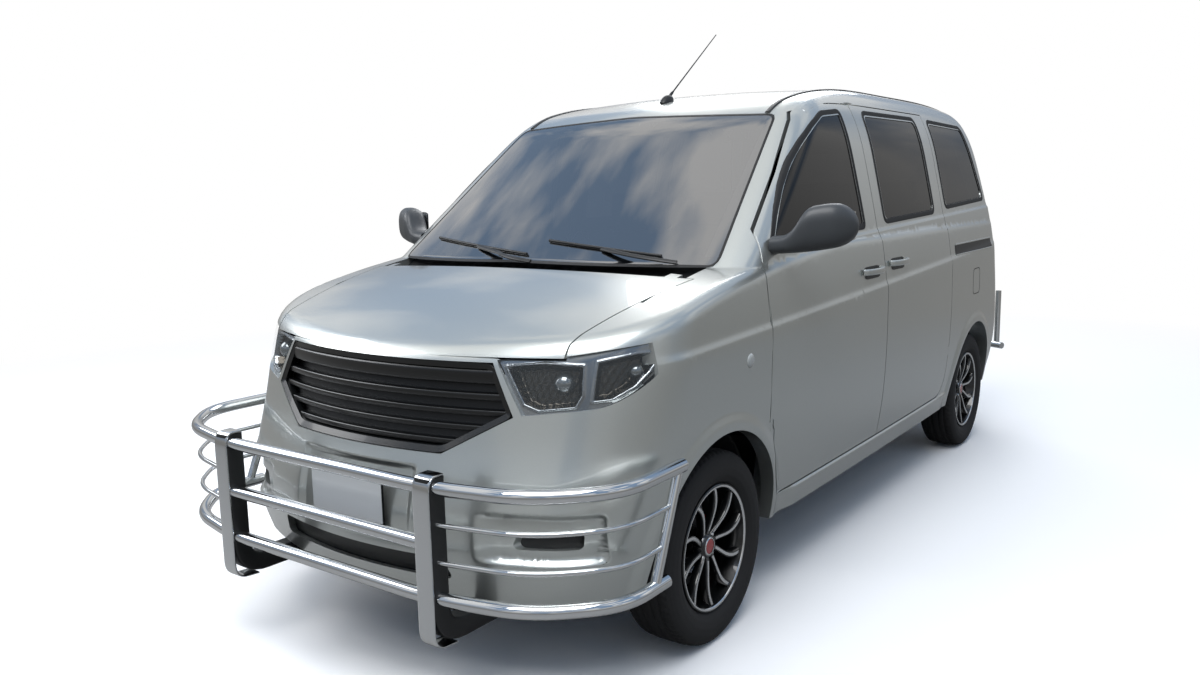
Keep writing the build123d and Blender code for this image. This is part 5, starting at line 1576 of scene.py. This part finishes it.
@dataclass(frozen=True)
class SideFittings:
    """Handles, side markers, fuel flap, sliding rail and roof strips.

    Attributes:
        side: side of the vehicle.
    """

    side: Side

    def handle(self, start: float, end: float, height: float) -> Builder:
        """A bar handle over a flat black patch laid just above the skin, painted shade of the recess behind the bar.

        Args:
            start: front end.
            end: rear end.
            height: height of its middle.

        Returns:
            The grids.
        """
        made = Builder()
        # Flat black patch 1 mm above the skin: painted shade where the recess behind the bar lies in shadow
        s, z = patch((start + 0.02, end - 0.02, height - 0.026, height + 0.022), 14, 30)
        made.grid(HULL.on_side(s, z, self.side, 0.0010), 1)
        share = np.linspace(0, 1, 40)
        lift = 0.004 + 0.026 * np.sin(np.pi * share) ** 0.45
        path = HULL.on_side(start + share * (end - start), np.full(40, height + 0.004), self.side, lift)
        made.rod(path, slab(0.013, 0.024, 3.2))
        return made

    def build(self) -> None:
        """Make the fittings."""
        word = self.side.word
        front = self.handle(1.085, 1.285, 1.048).object(f"front_handle_{word}", [PAINT, BLACK_PLASTIC])
        place(front, f"door_{word}", "silver_paint", f"handle_{word}")
        sliding = self.handle(1.385, 1.580, 1.062).object(f"sliding_handle_{word}", [PAINT, BLACK_PLASTIC])
        place(sliding, "body", "silver_paint", "sliding_handles")
        made = Builder()
        s, z = patch((2.330, 3.030, 1.034, 1.090), 8, 60)
        made.grid(HULL.on_side(s, z, self.side, 0.0012))
        along = np.linspace(2.335, 3.025, 60)
        for height in (1.037, 1.087):
            rail = HULL.on_side(along, np.full(60, height), self.side, 0.002)
            made.rod(rail, slab(0.006, 0.007, 3), UP, 1)
        roof = np.linspace(0.815, 3.06, 120)
        strip = HULL.on_top(np.full(120, 0.556 * self.side.value), roof, 0.001)
        made.rod(strip, slab(0.020, 0.007, 3))
        place(made.object(f"rail_and_strip_{word}", [BLACK_PLASTIC, PAINT]), "body", "black_plastic")
        marker = Builder()
        r = np.array([0.0, 0.010, 0.017, 0.021, 0.023])[:, None]
        a = np.linspace(0, 2 * np.pi, 32, endpoint=False)[None]
        lift = np.array([0.006, 0.0055, 0.004, 0.002, -0.0005])[:, None]
        disc = HULL.on_side(0.140 + r * np.cos(a), 0.860 + r * np.sin(a), self.side, lift + 0 * a)
        marker.grid(disc, wrap_columns=True)
        place(marker.object(f"side_marker_{word}", [MARKER]), "body", "lamp_lens")
        if self.side is Side.LEFT:
            outline = rounded([(2.640, 0.815), (2.770, 0.815), (2.770, 0.945), (2.640, 0.945)], 0.03, 120)
            flat = offset_outline(outline, np.array([-0.0018, 0.0018]))
            flap = Builder().grid(HULL.on_side(flat[..., 0], flat[..., 1], self.side, 0.0006), wrap_rows=True)
            place(flap.object("fuel_flap_gap", [SEAL]), "body", "black_plastic")


@dataclass(frozen=True)
class Wipers:
    """Two arms with blades resting on the windshield.

    Attributes:
        strokes: pivot and tip of each blade across the vehicle.
    """

    strokes: tuple[tuple[float, float], ...] = ((0.072, -0.548), (0.572, 0.052))

    def build(self) -> None:
        """Make blades and arms."""
        made = Builder()
        up = np.array((0.0, -0.6, 0.8))
        for pivot, tip in self.strokes:
            share = np.linspace(0, 1, 50)
            x, z = pivot + (tip - pivot) * share, 1.164 + 0.050 * share
            blade = on_end(x, z, 0.006, -1.0)
            made.rod(blade[6:], slab(0.010, 0.012, 2.4, 12), up)
            reach = share[:28] / 0.56
            arm = on_end(x[:28], z[:28] - 0.012 * (1 - reach), 0.008 + 0.012 * np.sin(np.pi * reach), -1.0)
            made.rod(arm, slab(0.016, 0.008, 3, 12), up)
        place(made.object("wiper_blades", [BLACK_PLASTIC]), "body", "black_plastic", "wipers")


@dataclass(frozen=True)
class Antenna:
    """Leaning whip on a small black foot at the front of the roof."""

    base: tuple[float, float] = (0.985, 1.742)
    tip: tuple[float, float] = (1.405, 2.049)

    def build(self) -> None:
        """Make foot and whip."""
        made = Builder()
        share = np.linspace(0, 1, 30)
        whip = np.stack([np.full(30, 0.02), at(self.base[0] + share * (self.tip[0] - self.base[0])),
                         self.base[1] + share * (self.tip[1] - self.base[1])], -1)
        up = np.array((1.0, 0.0, 0.0))
        radius = np.where(share < 0.12, 0.006, 0.0032 - 0.0012 * share)[:, None, None]
        made.grid(capped(whip[:, None] + (sweep(whip, ring(1.0, 12), up) - whip[:, None]) * radius), wrap_columns=True)
        t = np.linspace(0, 1, 12)[:, None]
        a = np.linspace(0, 2 * np.pi, 28, endpoint=False)[None]
        dome = (1 - t ** 2) ** 0.5
        foot = np.stack([0.02 + 0.022 * dome * np.cos(a), at(0.985) + 0.040 * dome * np.sin(a) + 0.02 * t,
                         1.730 + 0.036 * t + 0 * a], -1)
        made.grid(foot, wrap_columns=True)
        place(made.object("antenna_whip", [BLACK_PLASTIC]), "body", "black_plastic", "antenna")


@dataclass(frozen=True)
class RearGuard:
    """Polished bar behind the bumper with upright ends, on two dark brackets."""

    y: float = 2.236
    height: float = 0.415
    half: float = 0.775
    post_x: float = 0.735
    post_top: float = 0.740

    def build(self) -> None:
        """Make bar, posts and brackets."""
        made = Builder()
        bend, back = self.half - 0.150, self.y - 0.090
        bar = rounded([(-self.half, back, self.height), (-bend, self.y, self.height), (bend, self.y, self.height),
                       (self.half, back, self.height)], 0.06, 120, False)
        made.rod(bar, ring(0.019), UP)
        for side in Side:
            x = side.value * self.post_x
            post = np.linspace((x, self.y - 0.050, self.height), (x, self.y - 0.050, self.post_top), 20)
            made.rod(post, ring(0.016), np.array((0.0, 1.0, 0.0)))
            x = side.value * 0.395
            rail = at(3.400)
            bracket = rounded([(x, rail - 0.060, 0.415), (x, rail - 0.060, 0.255), (x, self.y - 0.008, 0.255),
                               (x, self.y - 0.008, self.height)], 0.02, 60, False)
            made.rod(bracket, slab(0.028, 0.030, 8), np.array((0.0, -0.7, 0.7)), 1)
        place(made.object("rear_guard_bar", [CHROME, BLACK_PLASTIC]), "body", "guard_steel", "rear_guard")


@dataclass(frozen=True)
class Caliper:
    """Red brake caliper over the rear of the disc.

    Attributes:
        side: side of the vehicle.
    """

    side: Side

    def build(self) -> None:
        """Make the caliper."""
        angle = np.radians(np.linspace(62, 118, 24))[:, None]
        a = np.linspace(0, 2 * np.pi, 20, endpoint=False)[None]
        across = 0.677 + 0.030 * np.sign(np.cos(a)) * np.abs(np.cos(a)) ** 0.5
        radius = 0.104 + 0.016 * np.sign(np.sin(a)) * np.abs(np.sin(a)) ** 0.5
        shell = np.stack([self.side.value * across + 0 * angle, FRONT_AXLE + radius * np.sin(angle),
                          AXLE_HEIGHT + radius * np.cos(angle)], -1)
        made = Builder().grid(capped(shell), wrap_columns=True)
        place(made.object(f"caliper_{self.side.word}", [RED_PAINT]), f"steer_{self.side.word}", "wheel_alloy")


@dataclass
class Studio:
    """Pale floor, soft light and the camera at the photograph's place."""

    eye: tuple[float, float, float] = (2.1533, -3.8606, 1.3819)
    yaw: float = -35.87
    pitch: float = 8.68
    roll: float = -1.22
    lens: float = 28.853
    ground: str = "4E4B45"
    horizon: str = "5C5A57"
    gloss_share: float = 0.22

    def build(self) -> None:
        """Make floor, lights, world and camera."""
        floor = mesh_object("floor", np.array([(-1, -1, 0), (1, -1, 0), (1, 1, 0), (-1, 1, 0)], float) * 400,
                            np.array([[0, 1, 2, 3]]), [FLOOR])
        self.whiten(floor.data.materials[0].node_tree)
        lamps = (("key", (1.5, -4.0, 6.5), (5.0, 4.0), 420.0), ("fill", (-5.0, -3.0, 4.0), (4.0, 3.0), 160.0),
                 ("rear", (-2.5, 6.0, 5.5), (4.0, 3.0), 200.0))
        for name, spot, size, power in lamps:
            data = bpy.data.lights.new(name, "AREA")
            data.shape, data.size, data.size_y, data.energy = "RECTANGLE", size[0], size[1], power
            lamp = bpy.data.objects.new(name, data)
            lamp.location = spot
            lamp.rotation_mode = "QUATERNION"
            lamp.rotation_quaternion = (Vector((0, 0, 0.8)) - Vector(spot)).to_track_quat("-Z", "Y")
            bpy.context.scene.collection.objects.link(lamp)
        self.world()
        self.camera()
        bpy.context.scene.view_settings.view_transform = "Standard"

    def seen(self, tree: bpy.types.NodeTree) -> bpy.types.NodeSocket:
        """Share of the white background: whole to the eye and through glass, part of it in mirroring surfaces.

        Args:
            tree: nodes of the floor or the world.

        Returns:
            Output with the share.
        """
        path = node(tree, "ShaderNodeLightPath")
        gloss = node(tree, "ShaderNodeMath", {0: path.outputs["Is Glossy Ray"], 1: self.gloss_share},
                     operation="MULTIPLY")
        clear = node(tree, "ShaderNodeMath", {0: gloss.outputs[0], 1: path.outputs["Is Transmission Ray"]},
                     operation="ADD")
        both = node(tree, "ShaderNodeMath", {0: clear.outputs[0], 1: path.outputs["Is Camera Ray"]}, operation="ADD",
                    use_clamp=True)
        return both.outputs[0]

    def whiten(self, tree: bpy.types.NodeTree) -> None:
        """Let the floor fade to plain white away from the vehicle, and mirror as mid grey in the paint.

        Args:
            tree: nodes of the floor's material.
        """
        tint = node(tree, "ShaderNodeMix", {0: self.seen(tree), 6: linear(self.ground), 7: linear("FFFFFF")},
                    data_type="RGBA")
        shader = tree.nodes["Principled BSDF"]
        tree.links.new(tint.outputs[2], shader.inputs["Base Color"])
        glow = node(tree, "ShaderNodeEmission", {"Color": tint.outputs[2]})
        where = node(tree, "ShaderNodeTexCoord")
        far = node(tree, "ShaderNodeVectorMath", {0: where.outputs["Object"]}, operation="LENGTH")
        share = node(tree, "ShaderNodeMapRange",
                     {"Value": far.outputs["Value"], "From Min": 2.6, "From Max": 7.0})
        both = node(tree, "ShaderNodeMixShader",
                    {0: share.outputs["Result"], 1: shader.outputs[0], 2: glow.outputs[0]})
        tree.links.new(both.outputs[0], tree.nodes["Material Output"].inputs["Surface"])

    def world(self) -> None:
        """Bright sky with soft clouds above a mid grey horizon, for glass and metal to mirror."""
        made = bpy.data.worlds.new("studio")
        made.use_nodes = True
        tree = made.node_tree
        where = node(tree, "ShaderNodeTexCoord")
        split = node(tree, "ShaderNodeSeparateXYZ", {0: where.outputs["Generated"]})
        cloud = node(tree, "ShaderNodeTexNoise",
                     {"Vector": where.outputs["Generated"], "Scale": 3.4, "Detail": 6.0})
        cover = node(tree, "ShaderNodeMapRange",
                     {"Value": cloud.outputs["Fac"], "From Min": 0.44, "From Max": 0.58})
        sky = node(tree, "ShaderNodeMix", {0: cover.outputs["Result"], 6: linear("4A80B2"), 7: linear("FFFFFF")},
                   data_type="RGBA")
        rise = node(tree, "ShaderNodeMapRange",
                    {"Value": split.outputs["Z"], "From Min": 0.02, "From Max": 0.45})
        full = node(tree, "ShaderNodeMix", {0: rise.outputs["Result"], 6: linear(self.horizon), 7: sky.outputs[2]},
                    data_type="RGBA")
        seen = node(tree, "ShaderNodeMix", {0: self.seen(tree), 6: full.outputs[2], 7: linear("FFFFFF")},
                    data_type="RGBA")
        back = tree.nodes["Background"]
        tree.links.new(seen.outputs[2], back.inputs["Color"])
        back.inputs["Strength"].default_value = 1.0
        bpy.context.scene.world = made

    def camera(self) -> None:
        """Camera with the photograph's place, direction and angle of view."""
        yaw, pitch, roll = np.radians([self.yaw, self.pitch, self.roll])
        ahead = np.array((np.sin(yaw) * np.cos(pitch), np.cos(yaw) * np.cos(pitch), -np.sin(pitch)))
        right = unit(np.cross(ahead, (0.0, 0.0, 1.0)))
        up = np.cross(right, ahead)
        right, up = np.cos(roll) * right + np.sin(roll) * up, -np.sin(roll) * right + np.cos(roll) * up
        data = bpy.data.cameras.new("camera")
        data.sensor_width, data.lens = 36.0, self.lens
        made = bpy.data.objects.new("camera", data)
        made.matrix_world = Matrix(np.stack([right, up, -ahead, np.zeros(3)], -1).tolist() + [[0, 0, 0, 1]])
        made.location = self.eye
        bpy.context.scene.collection.objects.link(made)
        bpy.context.scene.camera = made


def main() -> None:
    """Build everything in order and report."""
    logging.basicConfig(level=logging.INFO)
    Bodywork().build()
    LOG.info("bodywork done")
    for name in ("floor_pan", "front_suspension", "fuel_tank"):
        dress_node(name, UNDERSEAL)
    for name in ("engine_block", "rear_axle", "knuckle_left", "knuckle_right"):
        dress_node(name, CAST)
    for name in ("dashboard", "steering_wheel"):
        dress_node(name, TRIM)
    for name in ("front_seats", "second_row_seats", "rear_bench"):
        dress_node(name, CLOTH)
    dress_node("cowl", BLACK_PLASTIC)
    dress_node("exhaust", EXHAUST)
    for side in Side:
        Wheel(side, "front", FRONT_AXLE).build()
        Wheel(side, "rear", REAR_AXLE).build()
    LOG.info("wheels done")
    for piece in (FrontGuard(), RearGuard(), Headlamps(), TailLamps(), Grille(), FrontFittings(), Wipers(),
                  Antenna()):
        piece.build()
    for side in Side:
        for piece in (DoorMirror(side), SideFittings(side), Caliper(side)):
            piece.build()
    Studio().build()
    LOG.info("built")


if __name__ == "__main__":
    main()
